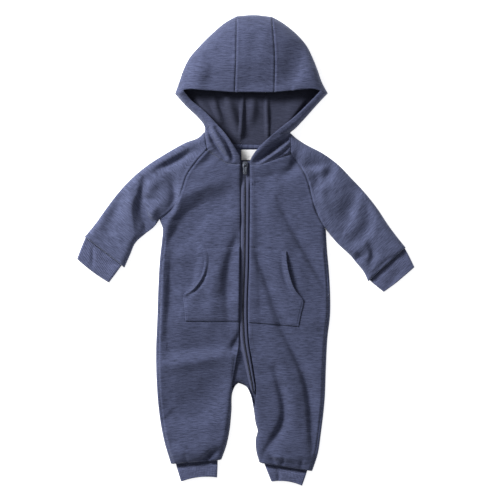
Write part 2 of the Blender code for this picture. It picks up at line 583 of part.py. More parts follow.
def cuff(name, size, parent):
    """Knitted cuff: ribs raised on the upper side of a plain, flattened tube."""
    hem_a, hem_b = np.array(size.hem_a, float), np.array(size.hem_b, float)
    across = (hem_b - hem_a) / np.linalg.norm(hem_b - hem_a)
    away = np.array([across[1], -across[0]])
    start_a = hem_a + across * size.in_a + away * SEAM
    start_b = hem_b - across * size.in_b + away * SEAM
    end_a, end_b = np.array(size.end_a, float), np.array(size.end_b, float)
    section = cuff_section(np.linalg.norm(start_b - start_a))
    share = section[:, 0] / section[:, 0].max()
    outer, inner = [], []
    for row in np.linspace(0, 1, CUFF_ROWS + 1):
        a, b = start_a + (end_a - start_a) * row, start_b + (end_b - start_b) * row
        bow = size.bow * row * 4 * share * (1 - share)
        plan = a + share[:, None] * (b - a) + bow[:, None] * away
        line = (b - a) / np.linalg.norm(b - a)
        direction = np.column_stack([section[:, 2, None] * line, section[:, 3]])
        middle = np.column_stack([plan, section[:, 1]])
        outer.append(middle + (RIB_DEPTH * section[:, 4, None] - RIB_DEPTH / 2
                               * (section[:, 3, None] > 0.5)) * direction)
        inner.append(middle - CLOTH * direction)
    outer, inner = np.array(outer), np.array(inner)
    wall = np.concatenate([outer, inner[::-1], outer[:1]])
    mesh = mesh_from_grids(name, [wall], flip=True, close_rows=True)
    return add_object(name, mesh, "rib_knit", parent)


# ================================================================ hood
def hood_side(side, parent):
    """A hood side: from the seam of the upper side over the folded edge and along the table to
    the seam of the back. Below the brim only a strip of the upper side is left, which grows
    again toward the neck, where it stands up as the lip of the mouth."""
    inward = toward_centre(side)
    corner_y = HOOD_SIDE[side][-1][1]
    y = np.linspace(HOOD_SIDE[side][0][1] - 1.5, corner_y, HOOD_ROWS + 1)
    apart = SEAM / 2 + 0.5 * np.exp((y - y[0]) / 8)
    fold = edge_at(HOOD_SIDE[side], y)
    brim = along(BRIM, np.linspace(0, 1, 4 * CURVE_STEPS))
    seam_top = edge_at(OUTER_SEAM[side], y, -inward * apart)
    seam_floor = edge_at(INNER_SEAM[side], y, -inward * (apart + INNER_GAP - SEAM / 2))
    shares = np.array([0, 0.02, 0.17, 0.34, 0.5, 0.64, 0.76, 0.86, 0.9, 0.94, 0.973, 0.992, 1])
    strip = 6                                   # columns left of the upper side below the brim
    floor_shares = np.array([0, 0.006, 0.025, 0.065, 0.16, 0.27, 0.4, 0.54, 0.68, 0.83, 0.98, 1])
    upper_plan = ruled(seam_top, fold, shares)
    order = np.argsort(brim[:, 0])
    brim_y = np.interp(upper_plan[-1, :, 0], brim[order, 0], brim[order, 1])
    rise = np.linspace(0, 1, HOOD_ROWS + 1)[:, None] ** 2
    upper_plan[..., 1] += rise * (brim_y - upper_plan[-1, :, 1])
    upper = raised(upper_plan, hood_height)
    lower = raised(ruled(fold, seam_floor, floor_shares), hood_floor)
    upper[:, -1, 2] = lower[:, 0, 2] = HOOD_EDGE

    # below the brim: from the mouth's edge to the turn, and further down to the neck seam
    strip_top = upper[-1, -strip:]
    strip_shares = (shares[-strip:] - shares[-strip]) / (1 - shares[-strip])
    mouth_line = [tuple(strip_top[0])] + MOUTH[side]
    notch = knot_share(mouth_line, MOUTH_AT_NOTCH[side] + 1)
    mouth = along(mouth_line, np.concatenate([np.linspace(0, notch, TURN_ROWS + 1),
                                              notch + (1 - notch) * NECK_SHARES]))
    turn = along(TURN[side], np.linspace(0, 1, TURN_ROWS + 1))
    turn[0] = strip_top[-1]
    corner = np.array(OVERARM[side][0], float)
    shoulder = np.array(FRONT_NECK[side][-1], float)
    neck_plan = np.concatenate([corner + (shoulder - corner) * [[0.09], [0.24], [0.5]],
                                along(FRONT_NECK[side], np.linspace(1, 0, NECK_ROWS + 1))])
    neck_plan += (inward * 0.45, NECK_SEAM)
    neck_plan[-1, 0] -= inward * 0.3
    neck = np.column_stack([neck_plan, top_height(neck_plan[:, 0], neck_plan[:, 1])])
    lip_edge = np.concatenate([turn, neck])
    lip = coons(mouth, lip_edge, strip_top, ruled(mouth[-1:], lip_edge[-1:], strip_shares)[0],
                strip_shares, power=6.0)
    lip[0] = strip_top
    lip[:, -1] = lip_edge

    # the floor of the mouth: beside the turn, the sleeve's neck edge and the back's neck
    seam_end = INNER_SEAM[side][-1][0] - inward * INNER_GAP
    neck_end = share_at_x(BACK_NECK[side], seam_end)
    back_corner = np.array(BACK_NECK[side][-1], float)
    beside_sleeve = corner + (back_corner - corner) * [[0.13], [0.36], [1.0]]
    beside_sleeve += (inward * 0.4, NECK_SEAM)
    beside_sleeve = np.column_stack([beside_sleeve, under_height(*beside_sleeve.T)])
    floor_edge = np.concatenate([turn, beside_sleeve])
    back_plan = along(BACK_NECK[side], 1 - (1 - neck_end) * floor_shares)
    back_plan += (inward * 0.4, NECK_SEAM)
    seam_y = np.linspace(corner_y, back_plan[-1, 1], len(floor_edge))
    seam_low = edge_at(INNER_SEAM[side], seam_y, -inward * INNER_GAP)
    back_plan[0], back_plan[-1] = floor_edge[-1, :2], seam_low[-1]
    plan = coons(floor_edge[:, :2], seam_low, lower[-1, :, :2], back_plan, floor_shares,
                 power=1.5)
    settle = np.clip(floor_shares / 0.065, 0, 1)
    rise = 1 - np.sqrt(1 - (1 - settle) ** 2)
    height = rise[None, :] * floor_edge[:, None, 2] + floor_lift(plan[..., 0], plan[..., 1])
    floor = np.dstack([plan, height])
    floor[0] = lower[-1]
    floor[:, 0] = floor_edge
    return cloth_piece("hood_" + side, [upper, lower, lip, floor], parent,
                       flip=side == "right")


def hood_centre(parent):
    """Centre strip of the hood: from the brim over the crown and down the back to the neck."""
    y = np.concatenate([np.linspace(BRIM[4][1], CROWN[1][1] - 24, 8),
                        CROWN[1][1] - np.array([16, 9, 4])])
    left = edge_at(OUTER_SEAM["left"], y, SEAM / 2)
    right = edge_at(OUTER_SEAM["right"], y, -SEAM / 2)
    shares = np.array([0, 0.03, 0.28, 0.5, 0.72, 0.97, 1])
    brim = along(BRIM, np.linspace(0, 1, 4 * CURVE_STEPS))
    edge = smooth(CROWN, len(shares))
    edge[0], edge[-1] = (CROWN[0][0] + SEAM / 2, CROWN[0][1]), (CROWN[2][0] - SEAM / 2,
                                                                  CROWN[2][1])
    upper_plan = ruled(left, right, shares)
    upper_plan[0, :, 1] = np.interp(upper_plan[0, :, 0], brim[:, 0], brim[:, 1])
    settle = np.clip((upper_plan[:, :1, 1] - 340) / 56, 0, 1)
    upper_plan[..., 1] += settle * (edge[:, 1] - CROWN[1][1])
    upper = raised(upper_plan, hood_height)
    crown = np.dstack([edge[None, :, 0], edge[None, :, 1], np.full((1, len(shares)), HOOD_EDGE)])
    back_y = np.concatenate([CROWN[1][1] - np.array([3, 9, 18]),
                             np.linspace(CROWN[1][1] - 40, BACK_NECK["left"][0][1] + NECK_SEAM, 12)])
    left = edge_at(INNER_SEAM["left"], back_y, INNER_GAP)
    right = edge_at(INNER_SEAM["right"], back_y, -INNER_GAP)
    lower_plan = ruled(left, right, shares)
    settle = np.clip((lower_plan[:, :1, 1] - 340) / 56, 0, 1)
    lower_plan[..., 1] += settle * (edge[:, 1] - CROWN[1][1])
    back_neck = np.concatenate([smooth(BACK_NECK["left"])[::-1], smooth(BACK_NECK["right"])])
    lower_plan[-1, :, 1] = NECK_SEAM + np.interp(lower_plan[-1, :, 0], back_neck[:, 0],
                                                 back_neck[:, 1])
    lower = raised(lower_plan, hood_floor)
    return cloth_piece("hood_centre", [np.concatenate([upper, crown, lower])], parent)


# ================================================================ what lies on the panels
def cover_height(x, y, reach):
    """Least height of something stiff that lies on the fronts: it touches the highest places
    within its reach and bridges the hollows between them."""
    heights = [top_height(x, y)]
    for angle in np.arange(8) * math.pi / 4:
        heights.append(top_height(x + reach * math.cos(angle), y + reach * math.sin(angle)))
    return np.max(heights, axis=0) + CLOTH + POCKET_GAP


def pocket(side, parent):
    """One half of the front pocket, open along its slanted side."""
    shape = POCKET[side]
    rows = np.linspace(0, 1, POCKET_ROWS + 1)
    inner, outer = along(shape["inner"], rows), along(shape["side"], rows)
    shares = np.concatenate([np.linspace(0, 0.9, POCKET_COLUMNS), [1.0]])
    top = along(shape["top"], shares)
    bottom = (1 - shares[:, None]) * inner[-1] + shares[:, None] * outer[-1]
    plan = coons(inner, outer, top, bottom, shares, power=2.0)
    grid = raised(plan, lambda px, py: cover_height(px, py, POCKET_BRIDGE))
    opening = np.clip(1 - np.abs(rows - 0.36) / 0.36, 0, 1)[:, None]
    grid[..., 2] += POCKET_GAPE[side] * np.sin(opening * math.pi / 2) * shares[None] ** 6
    return cloth_piece("pocket_" + side, [grid], parent, flip=side == "right")


def neck_tape(parent):
    """Tape over the inside of the back neck seam."""
    line = smooth([(-40, 178.5), (0, 176.6), (14, 176.4), (34, 177), (52, 179)], 9)
    low, high = line - (0, NECK_TAPE_WIDTH - 1.5), line + (0, 1.5)
    grid = np.dstack([ruled(low, high, [0, 1]),
                      np.full((len(line), 2), CLOTH + SEAM + TAPE)])
    return cloth_piece("neck_tape", [grid], parent, "fleece", TAPE, flip=True)


def neck_label(parent):
    """Woven label on the inside of the back, under the tape."""
    (x0, y0), (x1, y1) = LABEL_BOX
    left, right = np.array([(x0, y0), (x0, y1)]), np.array([(x1, y0), (x1, y1)])
    grid = np.dstack([ruled(left, right, [0, 1]), np.full((2, 2), CLOTH + SEAM + LABEL)])
    return cloth_piece("neck_label", [grid], parent, "label", LABEL)


# ================================================================ zip
def zip_rows(count):
    """Places down the zip, the direction across it and how wide its band is there."""
    line = smooth(ZIP_LINE, count)
    step = np.gradient(line, axis=0)
    across = np.column_stack([-step[:, 1], step[:, 0]]) / np.linalg.norm(step, axis=1)[:, None]
    low = np.clip((-line[:, 1] - 150) / (-ZIP_END - 150), 0, 1)
    band = ZIP_BAND + (ZIP_END_BAND - ZIP_BAND) * low
    return line, across, band


def zip_tape(side, parent):
    """One tape of the zip; its outer edge runs under the front's folded edge."""
    line, across, band = zip_rows(24)
    out = -toward_centre(side)
    inner = line + across * out * 0.3
    outer = line + across * out * (band[:, None] + 2.5)
    if side == "left":                # the tape ends beside the inner leg seam
        room = np.where(line[:, 1] < -223, x_at(INNER_LEG["right"], line[:, 1]) + 4.2, -99)
        outer[:, 0] = np.minimum(np.maximum(outer[:, 0], room), inner[:, 0] - 1.0)
    grid = ruled(inner, outer, [0, 1])
    grid = np.dstack([grid, np.full(grid.shape[:2], TAPE_TOP)])
    return cloth_piece("zip_tape_" + side, [grid], parent, "zip_tape", TAPE,
                       flip=side == "right")


def zip_chain(parent):
    """The closed coil of the zip, as a rounded bar; it starts under the slider's lower end."""
    line, across, _ = zip_rows(24)
    start = SLIDER_Y - SLIDER_LENGTH / 2 - SEAM
    keep = line[:, 1] < start
    line = np.concatenate([[(np.interp(start, line[::-1, 1], line[::-1, 0]), start)],
                           line[keep]])
    across = np.concatenate([across[:1], across[keep]])
    half = CHAIN_WIDTH / 2
    section = [(-half, CHAIN_BASE), (-half, CHAIN_TOP - 0.7), (-half + 0.8, CHAIN_TOP),
               (half - 0.8, CHAIN_TOP), (half, CHAIN_TOP - 0.7), (half, CHAIN_BASE)]
    rows = [np.column_stack([line + across * x, np.full(len(line), z)]) for x, z in section]
    grid = np.stack(rows, axis=1)
    mesh = mesh_from_grids("zip_chain", [grid], close_rows=True)
    cage = bmesh.new()
    cage.from_mesh(mesh)
    bmesh.ops.holes_fill(cage, edges=[e for e in cage.edges if e.is_boundary], sides=0)
    bmesh.ops.recalc_face_normals(cage, faces=cage.faces)
    cage.to_mesh(mesh)
    cage.free()
    return add_object("zip_chain", mesh, "zip_coil", parent)


def block(name, size, centre):
    """A box with its own mesh, size and centre in millimetres."""
    bpy.ops.mesh.primitive_cube_add(size=1.0, location=[c * MM for c in centre])
    obj = bpy.context.object
    obj.name = name
    obj.scale = [s * MM for s in size]
    bpy.ops.object.transform_apply(location=False, rotation=False, scale=True)
    return obj


def join_solids(obj, other, operation, cutters):
    """Adds or cuts one solid with another, which stays behind as a hidden guide."""
    step = obj.modifiers.new(other.name, "BOOLEAN")
    step.operation = operation
    step.object = other
    move_to(other, cutters)
    other.hide_render = True
    other.display_type = "WIRE"


def move_to(obj, collection):
    for old in list(obj.users_collection):
        old.objects.unlink(obj)
    collection.objects.link(obj)


def slider_centre():
    return x_at(ZIP_LINE, np.array([SLIDER_Y]))[0]


def pivot_height():
    return CHAIN_BASE + SLIDER_BODY + SEAM + TAB_THICK / 2


def zip_slider(parent, cutters):
    """Slider body with the bail that the pull tab hangs on."""
    x = slider_centre()
    base = CHAIN_BASE
    body = block("zip_slider", (SLIDER_WIDTH, SLIDER_LENGTH, SLIDER_BODY),
                 (x, SLIDER_Y, base + SLIDER_BODY / 2))
    bevel = body.modifiers.new("edges", "BEVEL")
    bevel.width = 0.9 * MM
    bevel.segments = 2
    length, height = BAIL_TUNNEL
    total = length + 2 * BAIL_LEG
    top = base + SLIDER_BODY
    bail = block("bail", (BAIL_WIDTH, total, height + 1.0 + 0.5),
                 (x, SLIDER_Y, top - 0.5 + (height + 1.5) / 2))
    tunnel = block("bail_tunnel", (BAIL_WIDTH + 2, length, height),
                   (x, SLIDER_Y, top + height / 2))
    join_solids(body, bail, "UNION", cutters)
    join_solids(body, tunnel, "DIFFERENCE", cutters)
    body.data.materials.append(finish_material("metal"))
    move_to(body, parent)
    return body


def pull_tab(parent, cutters):
    """Pull tab: a plate with a window hooked over the bail and a hole near its end. Its origin
    is on the hinge, the bar of the window that lies in the bail."""
    x, z = slider_centre(), pivot_height()
    window_width, window_length = TAB_WINDOW
    bar = TAB_THICK / 2
    tab = block("pull_tab", (TAB_WIDTH, TAB_LENGTH, TAB_THICK),
                (x, SLIDER_Y + bar - TAB_LENGTH / 2, z))
    bevel = tab.modifiers.new("corners", "BEVEL")
    bevel.width = 0.35 * MM
    bevel.segments = 1
    window = block("tab_window", (window_width, window_length, TAB_THICK * 3),
                   (x, SLIDER_Y - bar - window_length / 2, z))
    join_solids(tab, window, "DIFFERENCE", cutters)
    bpy.ops.mesh.primitive_cylinder_add(vertices=16, radius=TAB_HOLE / 2 * MM,
                                        depth=TAB_THICK * 3 * MM,
                                        location=(x * MM, (SLIDER_Y + bar - TAB_LENGTH + 3.6)
                                                  * MM, z * MM))
    hole = bpy.context.object
    hole.name = "tab_hole"
    join_solids(tab, hole, "DIFFERENCE", cutters)
    tab.data.materials.append(finish_material("metal"))
    tab.data.transform(tab.matrix_world)
    tab.matrix_world.identity()
    for vertex in tab.data.vertices:
        vertex.co -= tab_origin()
    tab.location = tab_origin()
    move_to(tab, parent)
    return tab


def tab_origin():
    return Vector((slider_centre() * MM, SLIDER_Y * MM, pivot_height() * MM))


# ================================================================ the whole garment
def clear_scene():
    for obj in list(bpy.data.objects):
        bpy.data.objects.remove(obj, do_unlink=True)


def collection(name):
    made = bpy.data.collections.new(name)
    bpy.context.scene.collection.children.link(made)
    return made


def build():
    clear_scene()
    garment, cutters = collection(NAME), collection("cutters")
    for side in ("left", "right"):
        back_panel(side, garment)
        front_panel(side, garment)
        sleeve(side, garment)
        hood_side(side, garment)
        pocket(side, garment)
        zip_tape(side, garment)
    hood_centre(garment)
    crotch_gusset(garment)
    for name, size in CUFFS.items():
        cuff(name, size, garment)
    neck_tape(garment)
    neck_label(garment)
    zip_chain(garment)
    zip_slider(garment, cutters)
    pull_tab(garment, cutters)


build()
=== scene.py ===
# %% [markdown]
# # A baby's hooded coverall, laid out flat
#
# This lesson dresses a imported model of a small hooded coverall: brushed knit in a heathered
# slate blue, ribbed cuffs, a front pocket in two halves, and a zip from the neck into the leg.
# The garment lies on its back on a table, and the camera looks straight down at it.
#
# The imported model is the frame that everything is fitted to. It is loaded first, and its
# bodies carry the pieces: "garment" holds all the cloth and "pull_tab" swings on the slider.

# %% Load the frame
from collections import namedtuple

import bmesh
import bpy
import numpy as np
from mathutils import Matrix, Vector


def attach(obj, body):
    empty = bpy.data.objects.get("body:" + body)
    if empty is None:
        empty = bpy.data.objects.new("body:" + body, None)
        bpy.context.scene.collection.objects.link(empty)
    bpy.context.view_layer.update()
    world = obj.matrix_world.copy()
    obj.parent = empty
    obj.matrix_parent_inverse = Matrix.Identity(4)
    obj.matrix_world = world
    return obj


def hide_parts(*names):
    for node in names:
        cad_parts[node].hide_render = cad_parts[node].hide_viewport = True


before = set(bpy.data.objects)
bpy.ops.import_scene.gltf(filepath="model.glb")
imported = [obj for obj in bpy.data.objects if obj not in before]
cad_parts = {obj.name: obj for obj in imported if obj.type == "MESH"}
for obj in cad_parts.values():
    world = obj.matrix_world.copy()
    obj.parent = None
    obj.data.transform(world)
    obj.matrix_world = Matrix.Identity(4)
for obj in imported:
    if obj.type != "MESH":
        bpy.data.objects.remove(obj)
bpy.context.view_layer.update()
MM = 0.001
SIDES = ("left", "right")

# %% [markdown]
# ## The sizes of the garment
#
# A tailor works from a few measures and the shapes of the cut edges. The same few curves that
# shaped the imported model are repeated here, in millimetres, x to the right and y toward the
# hood. Every panel below is worked out from them, only with a much finer grid, so that the
# small creases and the sewing have room.

# %% Named sizes
CLOTH = 1.6              # thickness of the brushed knit
TAPE = 0.9               # thickness of the zip's tape
LOFT = 13.5              # usual height of the upper side over the table
EDGE = 4.0               # height of the middle of a folded edge
EDGE_RUN = 12.0          # how far in from an edge the upper side is rounded off
LOWEST = 4.9             # least height of the upper side
SIDE_SEAM = 4.5          # the side seams lie this far in from the edge
ARMPIT_SEAM = 2.2
ZIP_BAND = 7.5           # half the width between the two fronts' folded edges
ZIP_END_BAND = 3.6       # the same at the zip's lower end
ZIP_LOFT = 8.7           # least height of the fronts beside the zip
GUSSET_LOW = 4.2         # height of the gusset beside the zip
TAPE_TOP = 6.1
CHAIN_BASE = 6.4
HOOD_EDGE, HOOD_LOFT, HOOD_RUN = 8.0, 40.0, 72.0     # as EDGE, LOFT and EDGE_RUN
CUFF_HEIGHT = 7.2
SEAM = 0.02              # half of this is left beside each seam
NECK_SEAM = 0.05

# %% The cut edges
OVERARM = {"left": [(-70, 199), (-78, 191), (-100, 182), (-136, 162), (-167, 142), (-191, 122),
                    (-211, 101), (-233, 73), (-253, 45), (-271, 23)],
           "right": [(76, 197), (86, 188), (95, 182), (132, 162), (158, 142), (177, 122),
                     (197, 101), (221, 71), (241, 41), (256, 21), (269, 5)]}
OVERARM_AT_ARMPIT = 6    # the outline point that faces the armpit
UNDERARM = {"left": [(-145, 52), (-154, 40), (-169, 28), (-186, 12), (-194, -6), (-204, -29)],
            "right": [(135, 35), (153, 13), (179, -12), (187, -22), (199, -37), (206, -52)]}
SIDE = {"left": [(-145, 52), (-140, 38), (-141, 17), (-144, -9), (-147, -58), (-149, -117),
                 (-151, -167), (-150, -221), (-146, -271), (-137, -322), (-126, -359)],
        "right": [(135, 35), (137, 1), (140, -33), (142, -67), (142, -110), (138, -144),
                  (135, -201), (133, -251), (127, -305), (121, -344), (112, -371)]}
INNER_LEG = {"left": [(-12, -223), (-17, -227), (-21, -235), (-24, -271), (-27, -302),
                      (-33, -330), (-41, -352)],
             "right": [(-12, -223), (1, -229), (7, -240), (13, -265), (17, -292), (20, -303),
                       (17, -317), (18, -339), (23, -357)]}
FRONT_RAGLAN = {"left": [(-65, 169), (-82, 150), (-99, 125), (-107, 101), (-116, 80),
                         (-131, 62), (-145, 52)],
                "right": [(76, 162), (93, 140), (105, 115), (110, 95), (116, 73), (124, 54),
                          (135, 35)]}
BACK_RAGLAN = {"left": [(-60, 184), (-94, 140), (-113, 97), (-131, 63.5), (-145, 52)],
               "right": [(66, 182), (95, 136), (110, 88), (123, 56), (135, 35)]}
FRONT_NECK = {"left": [(-9, 145), (-23, 145), (-32, 147), (-44, 155), (-58, 164), (-65, 169)],
              "right": [(7, 144), (17, 143), (40, 149), (58, 156), (76, 162)]}
BACK_NECK = {"left": [(0, 177), (-30, 178), (-60, 184)],
             "right": [(0, 177), (34, 178), (66, 182)]}
CENTRE_BACK = [(0, 177), (-4, 0), (-12, -223)]
FRONT_EDGE = {"left": [(-9, 145), (-9, 1), (-11, -128), (-12, -159), (-16, -184), (-20, -208),
                       (-23, -226), (-21.5, -240)],
              "right": [(7, 144), (7, 85), (6, -16), (4, -125), (6, -156), (11, -184),
                        (15.5, -211), (17.5, -230), (17, -246), (13.5, -268)]}
ZIP_LINE = [(-1, 150), (-1, 85), (-2, -16), (-4, -125), (-2, -156), (3, -184), (8, -211),
            (11.5, -231), (12, -238)]
HOOD_SIDE = {"left": [(-15, 394), (-33, 384), (-57, 364), (-78, 343), (-95, 323), (-105, 303),
                      (-112, 283), (-119, 263)],
             "right": [(44, 393), (60, 384), (85, 364), (103, 343), (113, 323), (121, 303),
                       (128, 283), (138, 264)]}
CROWN = [(-15, 394), (14, 396), (44, 393)]
BRIM = [(-119, 263), (-104, 269), (-68, 268), (-18, 265), (0, 265), (49, 265), (91, 269),
        (116, 270), (138, 264)]
OUTER_SEAM = {"left": [(-15, 394), (-16, 320), (-18, 265)],
              "right": [(44, 393), (49, 320), (48, 265)]}
INNER_SEAM = {"left": [(-15, 394), (-6, 320), (-2, 262), (-5, 219), (-8, 177)],
              "right": [(44, 393), (37, 320), (33, 262), (34, 219), (35, 177)]}
MOUTH = {"left": [(-92, 253, 17), (-72, 236, 17), (-55, 219, 19), (-41, 203, 23), (-26, 183, 24),
                  (-14, 166, 19), (-9.6, 158, 16), (-8.8, 152, 13)],
         "right": [(112, 254, 17), (96, 238, 17), (79, 222, 19), (59, 206, 24), (41, 190.5, 26),
                   (24, 175, 22), (12, 160, 17), (7.2, 151, 13)]}
MOUTH_AT_NOTCH = {"left": 3, "right": 4}
TURN = {"left": [(-119, 263, 8), (-100, 242, 7), (-80, 223, 6.3), (-70.5, 211, 5.8),
                 (-68.6, 205.5, 5.2), (-69, 200, 4.3)],
        "right": [(138, 264, 8), (121, 246, 7), (96, 218, 6.3), (80, 202, 5.6), (76.6, 199.5, 5),
                  (75.2, 197.8, 4.3)]}
POCKET = {"left": {"top": [(-10.5, 7), (-42, 4), (-74, 4)],
                   "side": [(-74, 4), (-70, -12), (-76, -43), (-89, -61), (-104, -74),
                            (-103, -95), (-101, -119)],
                   "inner": [(-10.5, 7), (-11.5, -119)]},
          "right": {"top": [(7.5, 4), (38, 2), (68, -1)],
                    "side": [(68, -1), (69, -19), (72, -36), (82, -65), (97, -86), (93, -107),
                             (89, -128)],
                    "inner": [(7.5, 4), (5.5, -121)]}}
Cuff = namedtuple("Cuff", "hem_a hem_b in_a in_b end_a end_b bow pinch")
CUFFS = {
    "sleeve_cuff_left": Cuff((-271, 23), (-204, -29), 1.5, 6.0, (-284, -14), (-230, -54), 2.0,
                             0.15),
    "sleeve_cuff_right": Cuff((206, -52), (269, 5), 3.0, 1.5, (232, -70), (284, -28), 1.0,
                              0.22),
    "ankle_cuff_left": Cuff((-126, -359), (-41, -352), 8.0, 6.0, (-109, -389), (-48, -382), -4.0,
                             0.6),
    "ankle_cuff_right": Cuff((23, -357), (112, -371), 8.0, 8.0, (43, -389), (95, -396), -4.0,
                              0.55),
}

# %% [markdown]
# ## Smooth curves
#
# A cut edge is a smooth curve through a few points. A cubic Hermite curve does this with plain
# arithmetic on whole arrays, and it can be asked for any number of places along it. Blender's
# own curve objects could draw it too, but here the places are needed as numbers.

# %% Curve helpers
def steps(points, axis=0):
    """Distances from each point to the next one along an axis."""
    return np.linalg.norm(np.diff(np.asarray(points, float), axis=axis), axis=-1)


def unit(vectors):
    """Each vector divided by its own length."""
    return vectors / np.linalg.norm(vectors, axis=-1, keepdims=True)


def turned_left(vectors):
    """Each plan vector turned by a right angle to its left."""
    return np.stack([-vectors[..., 1], vectors[..., 0]], axis=-1)


def between(a, b, shares):
    """Straight from a to b, each weighted by how near the place is to it."""
    u = np.asarray(shares)[:, None]
    return (1 - u) * a + u * b


def along(points, shares):
    """Cubic Hermite curve: between two knots, each knot and its slope are weighted by the four
    cubic blends of how far the place is between them; a share is a length divided by the
    whole length of the knots' polygon."""
    knots = np.asarray(points, float)
    t = np.concatenate([[0.0], np.cumsum(steps(knots))])
    t /= t[-1]
    slopes = np.gradient(knots, t, axis=0)
    s = np.clip(np.asarray(shares, float), 0.0, 1.0)
    i = np.clip(np.searchsorted(t, s, side="right") - 1, 0, len(t) - 2)
    span = (t[i + 1] - t[i])[:, None]
    f = (s - t[i])[:, None] / span
    return ((1 + 2 * f) * (1 - f) ** 2 * knots[i] + f * (1 - f) ** 2 * span * slopes[i]
            + f * f * (3 - 2 * f) * knots[i + 1] + f * f * (f - 1) * span * slopes[i + 1])


def smooth(points, count=60):
    """The curve at evenly spaced shares."""
    return along(points, np.linspace(0, 1, count))


def knot_share(points, index):
    """Length of the polygon up to a knot, divided by its whole length."""
    return steps(points)[:index].sum() / steps(points).sum()


def crowded(count, ends=0.75):
    """Shares from 0 to 1 that crowd at both ends: t less a sine of t, so that a folded edge
    gets narrow columns and the middle of a panel wide ones."""
    t = np.linspace(0, 1, count)
    return t - ends * np.sin(2 * np.pi * t) / (2 * np.pi)


# %% Reading a curve across or down
def edge_at(points, y, shift=0.0):
    """The curve's x at each height y, read off a fine polygon, moved sideways by shift."""
    curve = smooth(points, 400)
    order = np.argsort(curve[:, 1])
    return np.column_stack([np.interp(y, curve[order, 1], curve[order, 0]) + shift, y])


def y_on(line, x):
    """The y of a polygon that runs across the garment, at each x."""
    order = np.argsort(line[:, 0])
    return np.interp(x, line[order, 0], line[order, 1])


def share_at_x(points, x):
    """The share at which a curve that runs across the garment reaches x."""
    shares = np.linspace(0, 1, 500)
    return float(y_on(np.column_stack([along(points, shares)[:, 0], shares]), x))


def toward_centre(side):
    return 1.0 if side == "left" else -1.0


def rising(value, start, run):
    """0 up to the start, 1 from one run beyond it, and a straight rise between."""
    return np.clip((value - start) / run, 0, 1)
